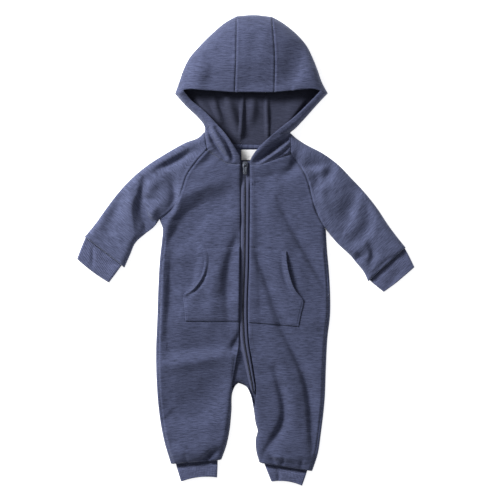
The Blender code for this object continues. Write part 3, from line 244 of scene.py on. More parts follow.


# %% [markdown]
# ## How high the cloth lies
#
# Laid cloth is a height over the table: a soft loft, rounded down to the folded edge all round,
# with folds on it. A fold is a line and a bell across it, steeper on one side, that fades toward
# its ends. Two tables hold them: the large folds that the imported model has too, and the small
# creases that only this finer surface can show. A cloth simulation would give folds of its own
# and not these, so they are listed one by one.

# %% The folds
Fold = namedtuple("Fold", "name depth left right start middle end")
LARGE_FOLDS = [
    Fold("left chest valley", -9.0, 18, 34, (-129, 1), (-87, 59), (-10, 101)),
    Fold("left chest deep end", -6.0, 15, 18, (-131, 1), (-105, 34), (-77, 71)),
    Fold("left chest ridge", 3.6, 9, 10, (-139, 28), (-107, 88), (-36, 118)),
    Fold("left side rim", 1.8, 5, 5, (-139, -3), (-139, -70), (-144, -147)),
    Fold("left side valley", -4.5, 14, 6, (-124, -3), (-127, -70), (-132, -151)),
    Fold("left waist valley", -6.0, 26, 9, (-131, -45), (-104, -55), (-78, -48)),
    Fold("left pocket valley", -6.5, 12, 8, (-10, 34), (-30, -33), (-28, -120)),
    Fold("left pocket ridge", 3.0, 12, 12, (-45, -16), (-55, -67), (-57, -110)),
    Fold("left thigh valley", -7.5, 28, 9, (-141, -167), (-83, -164), (-25, -164)),
    Fold("left thigh ridge", 5.6, 9, 14, (-144, -193), (-85, -186), (-30, -176)),
    Fold("left knee valley", -9.5, 38, 26, (-147, -275), (-83, -266), (-28, -218)),
    Fold("left shin rise", 6.5, 30, 7, (-124, -341), (-77, -339), (-33, -322)),
    Fold("left groin valley", -5.9, 6, 8, (-28, -169), (-16, -156), (-6, -137)),
    Fold("left inner leg rise", 3.6, 5, 14, (-25, -177), (-26, -224), (-33, -292)),
    Fold("left ankle tuck", -5.2, 5, 5, (-48, -334), (-62, -347), (-68, -362)),
    Fold("right chest valley", -5.9, 14, 6, (56, 81), (93, 11), (137, -67)),
    Fold("right chest ridge", 2.4, 10, 12, (27, 85), (64, 17), (101, -53)),
    Fold("right pocket valley", -5.9, 12, 7, (17, -3), (41, -67), (59, -130)),
    Fold("right leg valley", -7.8, 12, 6, (59, -127), (100, -218), (113, -352)),
    Fold("right leg ridge", 3.6, 12, 14, (37, -151), (76, -228), (86, -325)),
    Fold("right inner leg valley", -7.2, 9, 6, (49, -198), (64, -282), (29, -345)),
    Fold("right shin rise", 5.0, 24, 7, (24, -342), (68, -345), (115, -345)),
    Fold("right neck dip", -3.9, 7, 16, (11, 122), (34, 123), (64, 133)),
    Fold("right yoke wedge", -5.9, 7, 9, (59, 123), (78, 138), (90, 167)),
    Fold("left neck dip", -3.9, 7, 8, (-85, 137), (-67, 149), (-52, 167)),
    Fold("beside the zip", -2.0, 14, 6, (19, 118), (22, 1), (27, -134)),
    Fold("left shoulder valley", -9.0, 6, 7, (-149, 135), (-120, 149), (-92, 165)),
    Fold("left sleeve cross valley", -12.5, 7, 12, (-181, 93), (-167, 56), (-146, 21)),
    Fold("left sleeve long ridge", 5.5, 6, 16, (-179, 110), (-191, 76), (-188, 24)),
    Fold("left sleeve upper puff", 5.0, 9, 9, (-147, 118), (-159, 107), (-164, 95)),
    Fold("left sleeve lower puff", 6.0, 8, 9, (-147, 75), (-156, 66), (-159, 54)),
    Fold("left puff crease", -5.0, 5, 5, (-171, 117), (-174, 91), (-149, 83)),
    Fold("left raglan valley", -8.5, 5, 9, (-122, 122), (-120, 78), (-139, 48)),
    Fold("left forearm valley", -7.0, 13, 14, (-204, 108), (-220, 65), (-235, 21)),
    Fold("right shoulder valley", -8.5, 13, 6, (88, 142), (110, 140), (135, 147)),
    Fold("right shoulder crease", -8.0, 6, 12, (147, 152), (143, 132), (132, 115)),
    Fold("right yoke crease", -4.0, 8, 8, (116, 135), (120, 118), (116, 101)),
    Fold("right upper sleeve valley", -7.5, 9, 17, (190, 113), (180, 81), (169, 41)),
    Fold("right shoulder ridge", 3.6, 10, 10, (132, 108), (128, 91), (137, 68)),
    Fold("right elbow valley", -8.5, 8, 15, (202, 78), (207, 41), (187, 6)),
    Fold("right forearm ridge", 5.0, 8, 9, (205, 28), (185, 2), (163, -6)),
    Fold("right wrist crease", -5.5, 6, 5, (207, 11), (214, -6), (209, -23)),
    Fold("right wrist tuck", -5.5, 6, 6, (197, -9), (189, -14), (177, -25)),
    Fold("left waist slope", -6.0, 6, 34, (-82, -13), (-92, -53), (-105, -90)),
]
SMALL_FOLDS = [
    Fold("right ankle puff", 3.0, 4, 5, (31, -345), (71, -350), (110, -357)),
    Fold("left ankle puff", 3.0, 4, 5, (-120, -349), (-85, -349), (-52, -340)),
    Fold("right ankle tuck 3", -2.2, 4, 3, (96, -349), (93, -357), (95, -369)),
    Fold("right ankle tuck 2", -3.0, 3, 4, (64, -344), (63, -354), (58, -366)),
    Fold("right ankle tuck 1", -3.6, 3, 4, (37, -339), (44, -349), (51, -362)),
    Fold("left ankle long tuck", -3.4, 3, 4, (-55, -332), (-65, -345), (-83, -355)),
    Fold("left ankle outer tuck", -2.6, 3, 5, (-104, -342), (-100, -350), (-95, -361)),
    Fold("left armpit cleft", -2.0, 4, 4, (-131, 58), (-122, 50), (-108, 58)),
    Fold("left shin crease", -2.0, 4, 8, (-144, -287), (-131, -280), (-117, -265)),
    Fold("right chest branch", -1.8, 6, 5, (90, -28), (113, -55), (136, -74)),
    Fold("left sleeve underarm crease", -5.0, 8, 4, (-178, 24), (-161, 41), (-147, 54)),
    Fold("left wrist fold", -2.2, 4, 4, (-262, -2), (-260, -12), (-262, -22)),
    Fold("left wrist arc", -2.0, 4, 3, (-250, 10), (-240, -8), (-222, -14)),
    Fold("right shoulder notch", -2.4, 3, 4, (118, 78), (121, 66), (125, 58)),
    Fold("right wrist arc", -2.2, 4, 3, (212, -44), (236, -18), (262, -4)),
]
HOOD_FOLDS = [
    Fold("brim dip", -12.0, 34, 30, (-112, 266), (10, 262), (132, 266)),
    Fold("right flap hollow", -11.0, 12, 34, (95, 353), (90, 317), (81, 280)),
    Fold("right flap ridge", 14.0, 8, 20, (121, 317), (125, 293), (128, 273)),
    Fold("left flap hollow", -4.5, 26, 13, (-52, 322), (-57, 294), (-60, 270)),
]
HOOD_SMALL_FOLDS = [
    Fold("left flap soft rise", 2.0, 12, 10, (-96, 310), (-88, 292), (-86, 274)),
    Fold("left crown dimple", -1.6, 12, 14, (-40, 360), (-30, 330), (-32, 306)),
    Fold("centre soft hollow", -2.0, 14, 16, (30, 320), (26, 300), (24, 276)),
    Fold("brim ripple left", 1.2, 7, 7, (-30, 292), (-26, 280), (-24, 268)),
    Fold("brim ripple right", 1.4, 8, 8, (92, 296), (88, 282), (84, 270)),
]
FLOOR_FOLDS = [
    Fold("hood back bulge", 9.0, 30, 26, (-44, 252), (10, 246), (66, 252)),
    Fold("far left inner ridge", 6.0, 7, 9, (-84, 256), (-62, 230), (-42, 207)),
    Fold("left inner knob", 6.0, 5, 5, (-56, 262), (-49, 236), (-42, 218)),
    Fold("left inner ridge", 9.0, 9, 6, (-36, 268), (-24, 230), (-11, 192)),
    Fold("left seam ridge", 5.5, 3, 3, (-4, 270), (-6, 228), (-9, 184)),
    Fold("middle inner ridge", 5.0, 7, 8, (10, 272), (12, 240), (9, 216)),
    Fold("right seam ridge", 4.5, 3, 3, (34, 270), (36, 224), (37, 184)),
    Fold("right inner ridge", 9.0, 6, 26, (100, 259), (85, 236), (58, 201)),
]
LIP_FOLDS = [
    Fold("left inner trough", -10.0, 3.4, 3.6, (-50, 206), (-32, 180), (-22, 154)),
    Fold("left outer trough", -9.0, 3.8, 4.2, (-64, 210), (-54, 183), (-34, 156)),
    Fold("left middle ridge", 2.0, 3.5, 3.5, (-57, 206), (-42, 181), (-28, 157)),
    Fold("right black hollow", -15.0, 6.0, 6.0, (74, 190), (47, 171), (19, 149)),
    Fold("right hollow ridge", 3.0, 2.5, 3.0, (82, 190), (58, 169), (26, 148)),
    Fold("right neck crease", -3.0, 2.2, 2.2, (82, 184), (63, 164), (36, 148)),
    Fold("right neck ridge", 1.6, 2.6, 2.6, (84, 180), (68, 161), (46, 149)),
]


# %% Distance to a line, and the sum of folds
def nearest(x, y, line):
    """For each place, the foot of the perpendicular on every stretch of a polygon, clipped to
    the stretch; the least of these distances, the side it lies on and its share."""
    a, b = line[:-1], line[1:]
    ab = b - a
    px, py = x.ravel()[:, None], y.ravel()[:, None]
    f = np.clip(((px - a[:, 0]) * ab[:, 0] + (py - a[:, 1]) * ab[:, 1])
                / (ab ** 2).sum(1), 0, 1)
    dx, dy = px - a[:, 0] - f * ab[:, 0], py - a[:, 1] - f * ab[:, 1]
    distance = np.hypot(dx, dy)
    k = distance.argmin(1)
    row = np.arange(len(k))
    side = np.sign(ab[k, 0] * dy[row, k] - ab[k, 1] * dx[row, k])
    share = (k + f[row, k]) / len(a)
    return [values.reshape(x.shape) for values in (distance[row, k], side, share)]


def edge_distance(x, y, lines):
    return np.min([nearest(x, y, line)[0] for line in lines], axis=0)


def bell(distance, width, at=0.0):
    """Gauss's bell: 1 at its middle, and about a third one width away from it."""
    return np.exp(-((distance - at) / width) ** 2)


def fold_sum(x, y, folds, at_ends=0.35, power=0.8):
    """Depth times a bell of the distance over the width, times a half sine along the fold that
    leaves a share of the depth at its ends."""
    total = np.zeros(x.shape)
    for fold in folds:
        line = smooth([fold.start, fold.middle, fold.end], 14)
        distance, side, share = nearest(x, y, line)
        fade = at_ends + (1 - at_ends) * np.sin(np.pi * share) ** power
        total += fold.depth * fade * bell(distance, np.where(side > 0, fold.left, fold.right))
    return total


def small_fold_sum(x, y, folds):
    """As fold_sum, but each crease fades out entirely at both ends, so none stops dead."""
    return fold_sum(x, y, folds, 0.0, 0.7)


# %% [markdown]
# ## Seams pull, cloth ripples
#
# Three small things tell sewn cloth from a smooth pillow: the cloth sinks into its seams, it
# puckers beside them, and it never lies quite even. The first two follow the distance to the
# seam lines and the third is a sum of a few long waves. All are worked out for the whole grid
# at once and add less than two millimetres.

# %% Outlines, seams and waves
BODY_OUTLINE = [smooth(table[side]) for table in (OVERARM, UNDERARM, SIDE, INNER_LEG)
                for side in SIDES]
HOOD_OUTLINE = [smooth(line) for line in (HOOD_SIDE["left"], CROWN, HOOD_SIDE["right"])]
ZIP_PATH = smooth(ZIP_LINE)
ZIP_EDGES = [smooth(FRONT_EDGE[side]) for side in SIDES]
SEAMS = [smooth(table[side]) for table in (FRONT_RAGLAN, FRONT_NECK) for side in SIDES]
SEAMS += [smooth([(x + SIDE_SEAM, y) for x, y in SIDE["left"][2:]]),
          smooth([(x - SIDE_SEAM, y) for x, y in SIDE["right"][1:]])]
WAVES = np.random.default_rng(7)
WAVE_TABLE = np.column_stack([WAVES.uniform(0, 2 * np.pi, 12),     # direction
                              WAVES.uniform(26, 70, 12),           # wavelength, mm
                              WAVES.uniform(0, 2 * np.pi, 12),     # phase
                              WAVES.uniform(0.08, 0.22, 12)])      # amplitude, mm
RIPPLE, RIPPLE_LENGTH = 0.3, 11.0     # the puckers beside a seam, mm
WELT, WELT_AT = 0.45, 3.4             # the low ridge beside a seam and its distance, mm


def unevenness(x, y):
    """A sum of sine waves, each with its own direction, length, phase and height."""
    total = np.zeros(x.shape)
    for direction, length, phase, amplitude in WAVE_TABLE:
        ahead = x * np.cos(direction) + y * np.sin(direction)
        total += amplitude * np.sin(2 * np.pi * ahead / length + phase)
    return total


def seam_pull(x, y, seams):
    """A groove 1 mm deep on each seam, a welt beside it, and ripples that die out within a
    centimetre: a sine of the length along the seam times an exponential of the distance."""
    total = np.zeros(x.shape)
    for number, seam in enumerate(seams):
        distance, _, share = nearest(x, y, seam)
        reach = share * steps(seam).sum()
        ripple = np.sin(2 * np.pi * reach / RIPPLE_LENGTH + 1.7 * np.sin(reach / 17.0 + number))
        total += (RIPPLE * ripple * np.exp(-distance / 6) - bell(distance, 1.4)
                  + WELT * bell(distance, 1.8, WELT_AT))
    return total


# %% Heights of the body
HEMS = [(CUFFS[name].hem_a, CUFFS[name].hem_b, top) for name, top in (
    ("sleeve_cuff_left", 8.2), ("sleeve_cuff_right", 8.8), ("ankle_cuff_left", 11.5),
    ("ankle_cuff_right", 11.0))]
HEM_RUN = 6.0                         # how far from a hem the cloth comes down to it
ZIP_RIM = 10.0                        # the fronts are held up this far from the zip's middle
SOFTNESS = 2.0                        # of the soft maximum, per mm
EDGE_ROLL, ROLL_WIDTH = 1.5, 1.9      # the fronts' folded edges roll down beside the zip
ROLL_FROM, ROLL_TO = -150, 152        # over this stretch of y


def rounded(distance, run):
    """A quarter of an ellipse: 0 at the edge, 1 from run inward."""
    return np.sqrt(1 - (1 - rising(distance, 0, run)) ** 2)


def rounded_to_hems(x, y, height):
    """What stands over a hem's height comes down to it by a quarter ellipse."""
    for end_a, end_b, top in HEMS:
        from_hem = nearest(x, y, np.array([end_a, end_b], float))[0]
        lower = top + (height - top) * rounded(from_hem, HEM_RUN)
        height = np.where(height > top, lower, height)
    return height


def top_height(x, y):
    """Loft plus folds, held above the lowest height by a soft maximum and rounded at the edge;
    then the pull of the seams and the roll of the edges beside the zip."""
    loft = (LOFT + fold_sum(x, y, LARGE_FOLDS) + small_fold_sum(x, y, SMALL_FOLDS)
            + unevenness(x, y))
    beside_zip = 1 - rising(nearest(x, y, ZIP_PATH)[0], ZIP_RIM, ZIP_RIM)
    least = LOWEST + (ZIP_LOFT - LOWEST) * beside_zip
    loft = least + np.logaddexp(0, SOFTNESS * (loft - least)) / SOFTNESS
    inner = rounded(edge_distance(x, y, BODY_OUTLINE), EDGE_RUN)
    height = rounded_to_hems(x, y, EDGE + (loft - EDGE) * inner)
    rolled = bell(edge_distance(x, y, ZIP_EDGES), ROLL_WIDTH) * (y < ROLL_TO)
    return (height + seam_pull(x, y, SEAMS) * inner
            - EDGE_ROLL * rolled * rising(y, ROLL_FROM, 20))


def turned_up(x, y, outline, edge):
    """Flat on the table; at the outline a quarter circle up to the middle of the edge."""
    inset = edge - np.clip(edge_distance(x, y, outline), 0, edge)
    return edge - np.sqrt(edge ** 2 - inset ** 2)


def under_height(x, y):
    return turned_up(x, y, BODY_OUTLINE, EDGE)


# %% Heights of the hood
NECK_Y, UNDER_BRIM_Y = 182, 292       # the folds of the hood's back lie between these


def hood_height(x, y):
    """A dome that falls to the folded edge, with its hollows and unevenness."""
    loft = (HOOD_LOFT + fold_sum(x, y, HOOD_FOLDS) + small_fold_sum(x, y, HOOD_SMALL_FOLDS)
            + 1.5 * unevenness(x, y))
    return HOOD_EDGE + (loft - HOOD_EDGE) * rounded(edge_distance(x, y, HOOD_OUTLINE), HOOD_RUN)


def floor_lift(x, y):
    """The folds of the hood's back, which die out at the neck seam and under the brim."""
    fade = rising(y, NECK_Y, 14) * rising(-y, -UNDER_BRIM_Y, 30)
    return np.where(fade > 0, fold_sum(x, y, FLOOR_FOLDS) * fade, 0.0)


def hood_floor(x, y):
    return turned_up(x, y, HOOD_OUTLINE, HOOD_EDGE) + floor_lift(x, y)


print("large folds:", len(LARGE_FOLDS), "small folds:", len(SMALL_FOLDS))


# %% [markdown]
# ## From a grid to cloth
#
# Each panel is one or more grids of points. The grids of a piece share their edges, so equal
# points are merged, and every corner gets a place on the flat cloth (its UV) from the lengths
# measured along the grid, so the knit is never stretched. Solidify then gives the sheet its
# thickness on the inner side, which leaves the worked-out surface outside.

# %% Grids
def ruled(left, right, shares):
    """Straight across from one edge to the other."""
    return between(left[:, None], right[:, None], shares)


def coons(left, right, top, bottom, shares, power=1.0):
    """Straight across between the two sides, plus how far the top and bottom edges bend away
    from straight, each fading with its distance."""
    v = np.linspace(0, 1, len(left))[:, None, None]
    return (ruled(left, right, shares)
            + (1 - v) ** power * (top - between(top[0], top[-1], shares))
            + v ** power * (bottom - between(bottom[0], bottom[-1], shares)))


def raised(plan, height):
    """Plan places with their height as the third coordinate."""
    return np.dstack([plan, height(plan[..., 0], plan[..., 1])])


def cells(grid, flip=False):
    """What a grid holds at the four corners of each of its cells, going round the cell."""
    corners = [grid[:-1, :-1], grid[:-1, 1:], grid[1:, 1:], grid[1:, :-1]]
    return np.stack([corners[k] for k in ((0, 3, 2, 1) if flip else (0, 1, 2, 3))], axis=2)


def cloth_places(grid):
    """Lengths measured along the rows and the columns, counted from the middle of the grid,
    in millimetres: where each point lies on the flat cloth."""
    across, down = np.zeros((2, *grid.shape[:2]))
    across[:, 1:] = np.cumsum(steps(grid, 1), axis=1)
    down[1:] = np.cumsum(steps(grid, 0), axis=0)
    row, column = grid.shape[0] // 2, grid.shape[1] // 2
    x, y = grid[row, column, :2]
    return np.dstack([across - across[:, [column]] + x, y - (down - down[[row]])])


# %% Pieces
def mesh_from_grids(name, grids, flip=False, closed=False):
    """Quads between neighbouring points of each grid. In a closed one, the last column is
    joined to the first."""
    points, faces, places, first = [], [], [], 0
    for grid in grids:
        index = first + np.arange(grid[..., 0].size).reshape(grid.shape[:2])
        place = cloth_places(grid)
        if closed:
            index = np.column_stack([index, index[:, 0]])
            place = np.concatenate([place, 2 * place[:, -1:] - place[:, -2:-1]], axis=1)
        faces.append(cells(index, flip).reshape(-1, 4))
        places.append(cells(place, flip).reshape(-1, 2))
        points.append(grid.reshape(-1, 3) * MM)
        first += len(points[-1])
    mesh = bpy.data.meshes.new(name)
    mesh.from_pydata(np.concatenate(points), [], np.concatenate(faces))
    layer = mesh.uv_layers.new(name="cloth")
    layer.data.foreach_set("uv", (np.concatenate(places) * MM).astype(np.float32).ravel())
    mesh.shade_smooth()
    return mesh


def weld(mesh, distance=0.00002):
    """Merges the points that two grids of a piece share, which are nearer than 0.02 mm."""
    work = bmesh.new()
    work.from_mesh(mesh)
    bmesh.ops.remove_doubles(work, verts=work.verts, dist=distance)
    bmesh.ops.dissolve_degenerate(work, edges=work.edges, dist=distance / 4)
    work.to_mesh(mesh)
    work.free()
    mesh.shade_smooth()


def add_piece(name, mesh, material, body="garment"):
    """A mesh in the scene, on its body, with its material."""
    obj = bpy.data.objects.new(name, mesh)
    bpy.context.scene.collection.objects.link(obj)
    mesh.materials.append(material)
    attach(obj, body)
    return obj


def cloth(node, grids, material, thickness=CLOTH, flip=False,
          shaded_lining=None, closed=False, ending="_cloth"):
    """A piece of cloth: its grids and its thickness; the frame's part with the node's name is
    hidden.
    Its inner side takes a second material if one is given: the darker knit with painted shade."""
    name = node + ending
    mesh = mesh_from_grids(name, grids, flip, closed)
    if closed:
        grids = [np.concatenate([grid, grid[:, :1]], axis=1) for grid in grids]
    else:
        weld(mesh)
    obj = add_piece(name, mesh, material)
    wall = obj.modifiers.new("thickness", "SOLIDIFY")
    wall.thickness, wall.offset = thickness * MM, -1.0
    # The inner side takes the darker material: painted shade.
    if shaded_lining:
        mesh.materials.append(shaded_lining)
        wall.material_offset = 1
    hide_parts(node)
    return obj


# %% [markdown]
# ## The knit
#
# The cloth is a brushed knit spun from fibres of two blues. Close up there are rows of small
# stitches; from a step away there are short, pale and dark flecks that run across the garment.
# Both are painted by procedural nodes that read the UV in millimetres: stretched noise for the
# flecks, waves for the stitches as bump only, and a little sheen for the nap.

# %% Node helpers
class Tree:
    """A short way to add nodes to a material and join them."""

    def __init__(self, name):
        self.material = bpy.data.materials.new(name)
        self.material.use_nodes = True
        self.tree = self.material.node_tree

    def plug(self, socket, value):
        """Links a socket to another one, or sets its value."""
        if isinstance(value, bpy.types.NodeSocket):
            self.tree.links.new(value, socket)
        else:
            socket.default_value = value

    def add(self, kind, values, output=0, **settings):
        """A new node with its settings and inputs; gives back one of its outputs."""
        node = self.tree.nodes.new("ShaderNode" + kind)
        for key, value in settings.items():
            setattr(node, key, value)
        for key, value in values.items():
            self.plug(node.inputs[key], value)
        return node.outputs[output]

    def math(self, operation, a, b):
        return self.add("Math", {0: a, 1: b}, operation=operation)

    def place(self):
        return self.add("TexCoord", {}, "Object")

    def millimetres(self, across=1.0, down=1.0):
        """The piece's UV, turned into millimetres on the flat cloth and stretched."""
        return self.add("Mapping", {"Vector": self.add("UVMap", {}, uv_map="cloth"),
                                    "Scale": (1000 * across, 1000 * down, 1000.0)})

    def noise(self, vector, scale, detail=2.0, roughness=0.6):
        return self.add("TexNoise", {"Vector": vector, "Scale": scale, "Detail": detail,
                                     "Roughness": roughness}, "Fac")

    def wave(self, vector, scale, distortion=0.0, direction="DIAGONAL"):
        return self.add("TexWave", {"Vector": vector, "Scale": scale, "Distortion": distortion},
                        "Fac", wave_type="BANDS", bands_direction=direction)

    def bump(self, height, strength, distance):
        return self.add("Bump", {"Strength": strength, "Distance": distance, "Height": height})

    def ramp(self, fac, *stops):
        """A colour for a value: each stop is a place and its colour."""
        colour = self.add("ValToRGB", {"Fac": fac}, "Color")
        elements = colour.node.color_ramp.elements
        while len(elements) < len(stops):
            elements.new(0.5)
        for element, (place, shade) in zip(elements, stops):
            element.position = place
            element.color = (*shade, 1.0)
        return colour

    def finish(self, **values):
        """Sets or links the shader's own inputs, and gives back the material."""
        for key, value in values.items():
            shader = self.tree.nodes["Principled BSDF"]
            self.plug(shader.inputs[key.replace("_", " ")], value)
        return self.material


def grey(value):
    return (value, value, value)


# %% The brushed knit
STITCHES = 0.3183        # the wave texture's scale that makes one wave to a unit, 1 over pi


def knit(name, dark, light, pitch=1.3, fleck=1.0, sheen=0.25):
    """Colour: two stretched noises and a fine one choose between the dark and the light yarn.
    Bump: a wave across for the wales, a wave along for the courses, and a fine noise."""
    tree = Tree(name)
    slub = tree.noise(tree.millimetres(0.06, 0.58), 1.0)
    short_slub = tree.noise(tree.millimetres(0.15, 1.1), 1.0)
    speck = tree.noise(tree.millimetres(0.8, 1.3), 1.0, roughness=0.7)
    patch = tree.noise(tree.millimetres(0.03, 0.035), 1.0, roughness=0.5)
    small = tree.math("ADD", tree.math("MULTIPLY", short_slub, 0.3),
                      tree.math("MULTIPLY", speck, 0.25))
    blend = tree.math("ADD", tree.math("MULTIPLY", slub, 0.45), small)
    middle = tuple((a + b) / 2 for a, b in zip(dark, light))
    spread = 0.11 / fleck
    yarn = tree.ramp(blend, (0.5 - spread, dark), (0.5, middle), (0.5 + spread, light))
    tone = tree.ramp(patch, (0.3, grey(0.93)), (0.7, grey(1.05)))
    colour = tree.add("Mix", {0: 1.0, 6: yarn, 7: tone}, 2, data_type="RGBA",
                      blend_type="MULTIPLY")
    wales = tree.wave(tree.millimetres(1 / pitch, 0.0), STITCHES, 0.6, "X")
    courses = tree.wave(tree.millimetres(0.0, 1.25 / pitch), STITCHES, 0.8, "Y")
    nap = tree.noise(tree.millimetres(), 0.9, 4.0, 0.75)
    stitches = tree.math("MULTIPLY", tree.math("MULTIPLY", wales, courses), 0.55)
    height = tree.math("ADD", stitches, tree.math("MULTIPLY", nap, 0.9))
    return tree.finish(Base_Color=colour, Roughness=0.93, Normal=tree.bump(height, 0.55, 0.0004),
                       Sheen_Weight=sheen, Sheen_Roughness=0.45,
                       Sheen_Tint=(0.75, 0.82, 1.0, 1.0), Specular_IOR_Level=0.25)


fleece = knit("fleece", (0.026, 0.031, 0.062), (0.078, 0.091, 0.172))
hood_fleece = knit("hood fleece", (0.028, 0.033, 0.066), (0.084, 0.097, 0.180))
# Painted light: the sleeves get a lighter copy of the same knit, which stands in for the brighter
# light that falls on them.
lit_sleeve_fleece = knit("sleeve fleece with painted light", (0.034, 0.040, 0.078), (0.102, 0.118, 0.214))
# Painted shade: the inside of the hood gets a darker, duller copy of the knit, for the shade
# under the hood's upper side.
shaded_inside_knit = knit("inside of the hood with painted shade", (0.017, 0.019, 0.036), (0.045, 0.050, 0.088),
                   fleck=0.7, sheen=0.1)
rib_knit = knit("rib knit", (0.042, 0.048, 0.093), (0.116, 0.133, 0.240), 1.1, 0.9, 0.2)
print("knits:", [m.name for m in (fleece, hood_fleece, lit_sleeve_fleece, shaded_inside_knit, rib_knit)])


# %% [markdown]
# ## The fronts and the backs
#
# A front runs from the raglan seam of the sleeve down to the ankle, and its inner edge is
# folded back beside the zip. Its grid is stretched between those edges. A back lies flat on
# the table; below the armpit it turns up round the edge to the side seam.

# %% Rows of the body
RAGLAN_ROWS, BODY_ROWS, LEG_ROWS = 44, 100, 58
RAGLAN_SHARES = np.linspace(0, 1, RAGLAN_ROWS + 1)


def body_levels(side):
    """Evenly spaced heights from the armpit to the crotch and from there to the hem, on the
    outer and on the inner edge."""
    armpit, crotch = SIDE[side][0][1], INNER_LEG[side][0][1]
    body = np.append(np.linspace(armpit, crotch + 5.0, BODY_ROWS + 1)[1:], crotch)
    return [np.concatenate([body, np.linspace(crotch, edge[side][-1][1], LEG_ROWS + 1)[1:]])
            for edge in (SIDE, INNER_LEG)]


def on_hem(side, x):
    """The place x on the straight hem of a leg."""
    (xa, ya), (xb, yb) = INNER_LEG[side][-1], SIDE[side][-1]
    return np.array([x, ya + (yb - ya) * (x - xa) / (xb - xa)])


def body_plan(inner, outer, neck_line, shares):
    """A Coons patch between an inner and an outer edge, the neck and a straight hem."""
    neck = along(neck_line, shares)
    neck[0], neck[-1] = inner[0], outer[0]
    return coons(inner, outer, neck, between(inner[-1], outer[-1], shares), shares, power=6.0)


# %% The two fronts
LEG_GAP = 1.2


def front_edge(side, y):
    """Beside the zip, and from the crotch down never nearer than a gap to the leg's edge."""
    beside_zip = edge_at(FRONT_EDGE[side], y)
    inner_leg = edge_at(INNER_LEG[side], y, -LEG_GAP * toward_centre(side))
    further = np.minimum if side == "left" else np.maximum
    low = np.where(y[:, None] < FRONT_EDGE[side][-1][1], inner_leg,
                   np.column_stack([further(beside_zip[:, 0], inner_leg[:, 0]), y]))
    return np.where(y[:, None] < INNER_LEG[side][0][1] + 1.0, low, beside_zip)


def front_panel(side):
    """Between the raglan and side seam, the neck, the hem and the zip's edge."""
    inward = toward_centre(side)
    outer_y, inner_y = body_levels(side)
    raglan = along(FRONT_RAGLAN[side], RAGLAN_SHARES) + (inward * SEAM / 2, 0)
    raglan[-1, 0] += inward * (ARMPIT_SEAM + SEAM)
    outer = np.concatenate([raglan, edge_at(SIDE[side], outer_y,
                                            inward * (SIDE_SEAM + SEAM / 2))])
    outer[-1] = on_hem(side, outer[-1, 0])
    neck_y = np.linspace(FRONT_NECK[side][0][1], raglan[-1, 1], RAGLAN_ROWS + 1)
    inner = front_edge(side, np.concatenate([neck_y, inner_y]))
    return [raised(body_plan(inner, outer, FRONT_NECK[side], crowded(72, 0.6)), top_height)]


for side in SIDES:
    cloth("front_" + side, front_panel(side), fleece, flip=side == "right")


# %% The two backs
def back_panel(side):
    """Flat on the table, with a strip that turns up round the edge to the side seam."""
    inward = toward_centre(side)
    outer_y, inner_y = body_levels(side)
    armhole = along(BACK_RAGLAN[side], RAGLAN_SHARES) + (inward * SEAM / 2, 0)
    side_edge = np.concatenate([armhole, edge_at(SIDE[side], outer_y)])
    side_seam = np.concatenate([armhole[-1:] + (inward * ARMPIT_SEAM, 0),
                                edge_at(SIDE[side], outer_y, inward * (SIDE_SEAM - SEAM / 2))])
    side_seam[-1] = on_hem(side, side_seam[-1, 0])
    neck_y = np.linspace(BACK_NECK[side][0][1], armhole[-1, 1], RAGLAN_ROWS + 1)
    y = np.concatenate([neck_y, inner_y])
    centre, inner_leg = (edge_at(line, y, -inward * SEAM / 2)
                         for line in (CENTRE_BACK, INNER_LEG[side]))
    inner = np.where(y[:, None] > INNER_LEG[side][0][1] + 1.0, centre, inner_leg)
    floor = raised(body_plan(inner, side_edge, BACK_NECK[side], crowded(40, 0.93)),
                   under_height)
    wrap = raised(ruled(side_edge[RAGLAN_ROWS:], side_seam, crowded(8)), top_height)
    wrap[:, 0] = floor[RAGLAN_ROWS:, -1]
    return [floor, wrap]


for side in SIDES:
    cloth("back_" + side, back_panel(side), fleece, flip=side == "left")


# %% The gusset between the legs
GUSSET_RISE, GUSSET_MOST = 0.2, 3.5   # for each millimetre away from the zip, and in all
CROTCH_ARC = [(-24, -228), (-18, -225.3), (-12, -221.6), (-5, -223.6), (1, -227), (6, -232)]


def gusset():
    """A small wedge that lies low between the fronts, one edge under the left front and the
    other under the zip's tape, and rises away from the zip."""
    y = np.linspace(-140, -219, 36)
    left = edge_at(FRONT_EDGE["left"], y, -4.0)
    right = edge_at(ZIP_LINE, y, -3.5)
    shares = np.linspace(0, 1, 24)
    bottom = along(CROTCH_ARC, shares)
    left[-1], right[-1] = bottom[0], bottom[-1]
    plan = coons(left, right, between(left[0], right[0], shares), bottom, shares, power=3.0)
    from_zip = nearest(plan[..., 0], plan[..., 1], ZIP_PATH)[0]
    height = GUSSET_LOW + np.minimum(GUSSET_RISE * from_zip, GUSSET_MOST)
    return [np.dstack([plan, height + 0.5 * unevenness(plan[..., 0], plan[..., 1])])]


cloth("crotch_gusset", gusset(), fleece, flip=True)


# %% [markdown]
# ## The sleeves
#
# A raglan sleeve is open along the two raglan seams down to the armpit and a flattened tube
# from there on. Its upper and under sides are two grids that meet in the folded edge.

# %% Sleeves
ARM_ROWS = 84


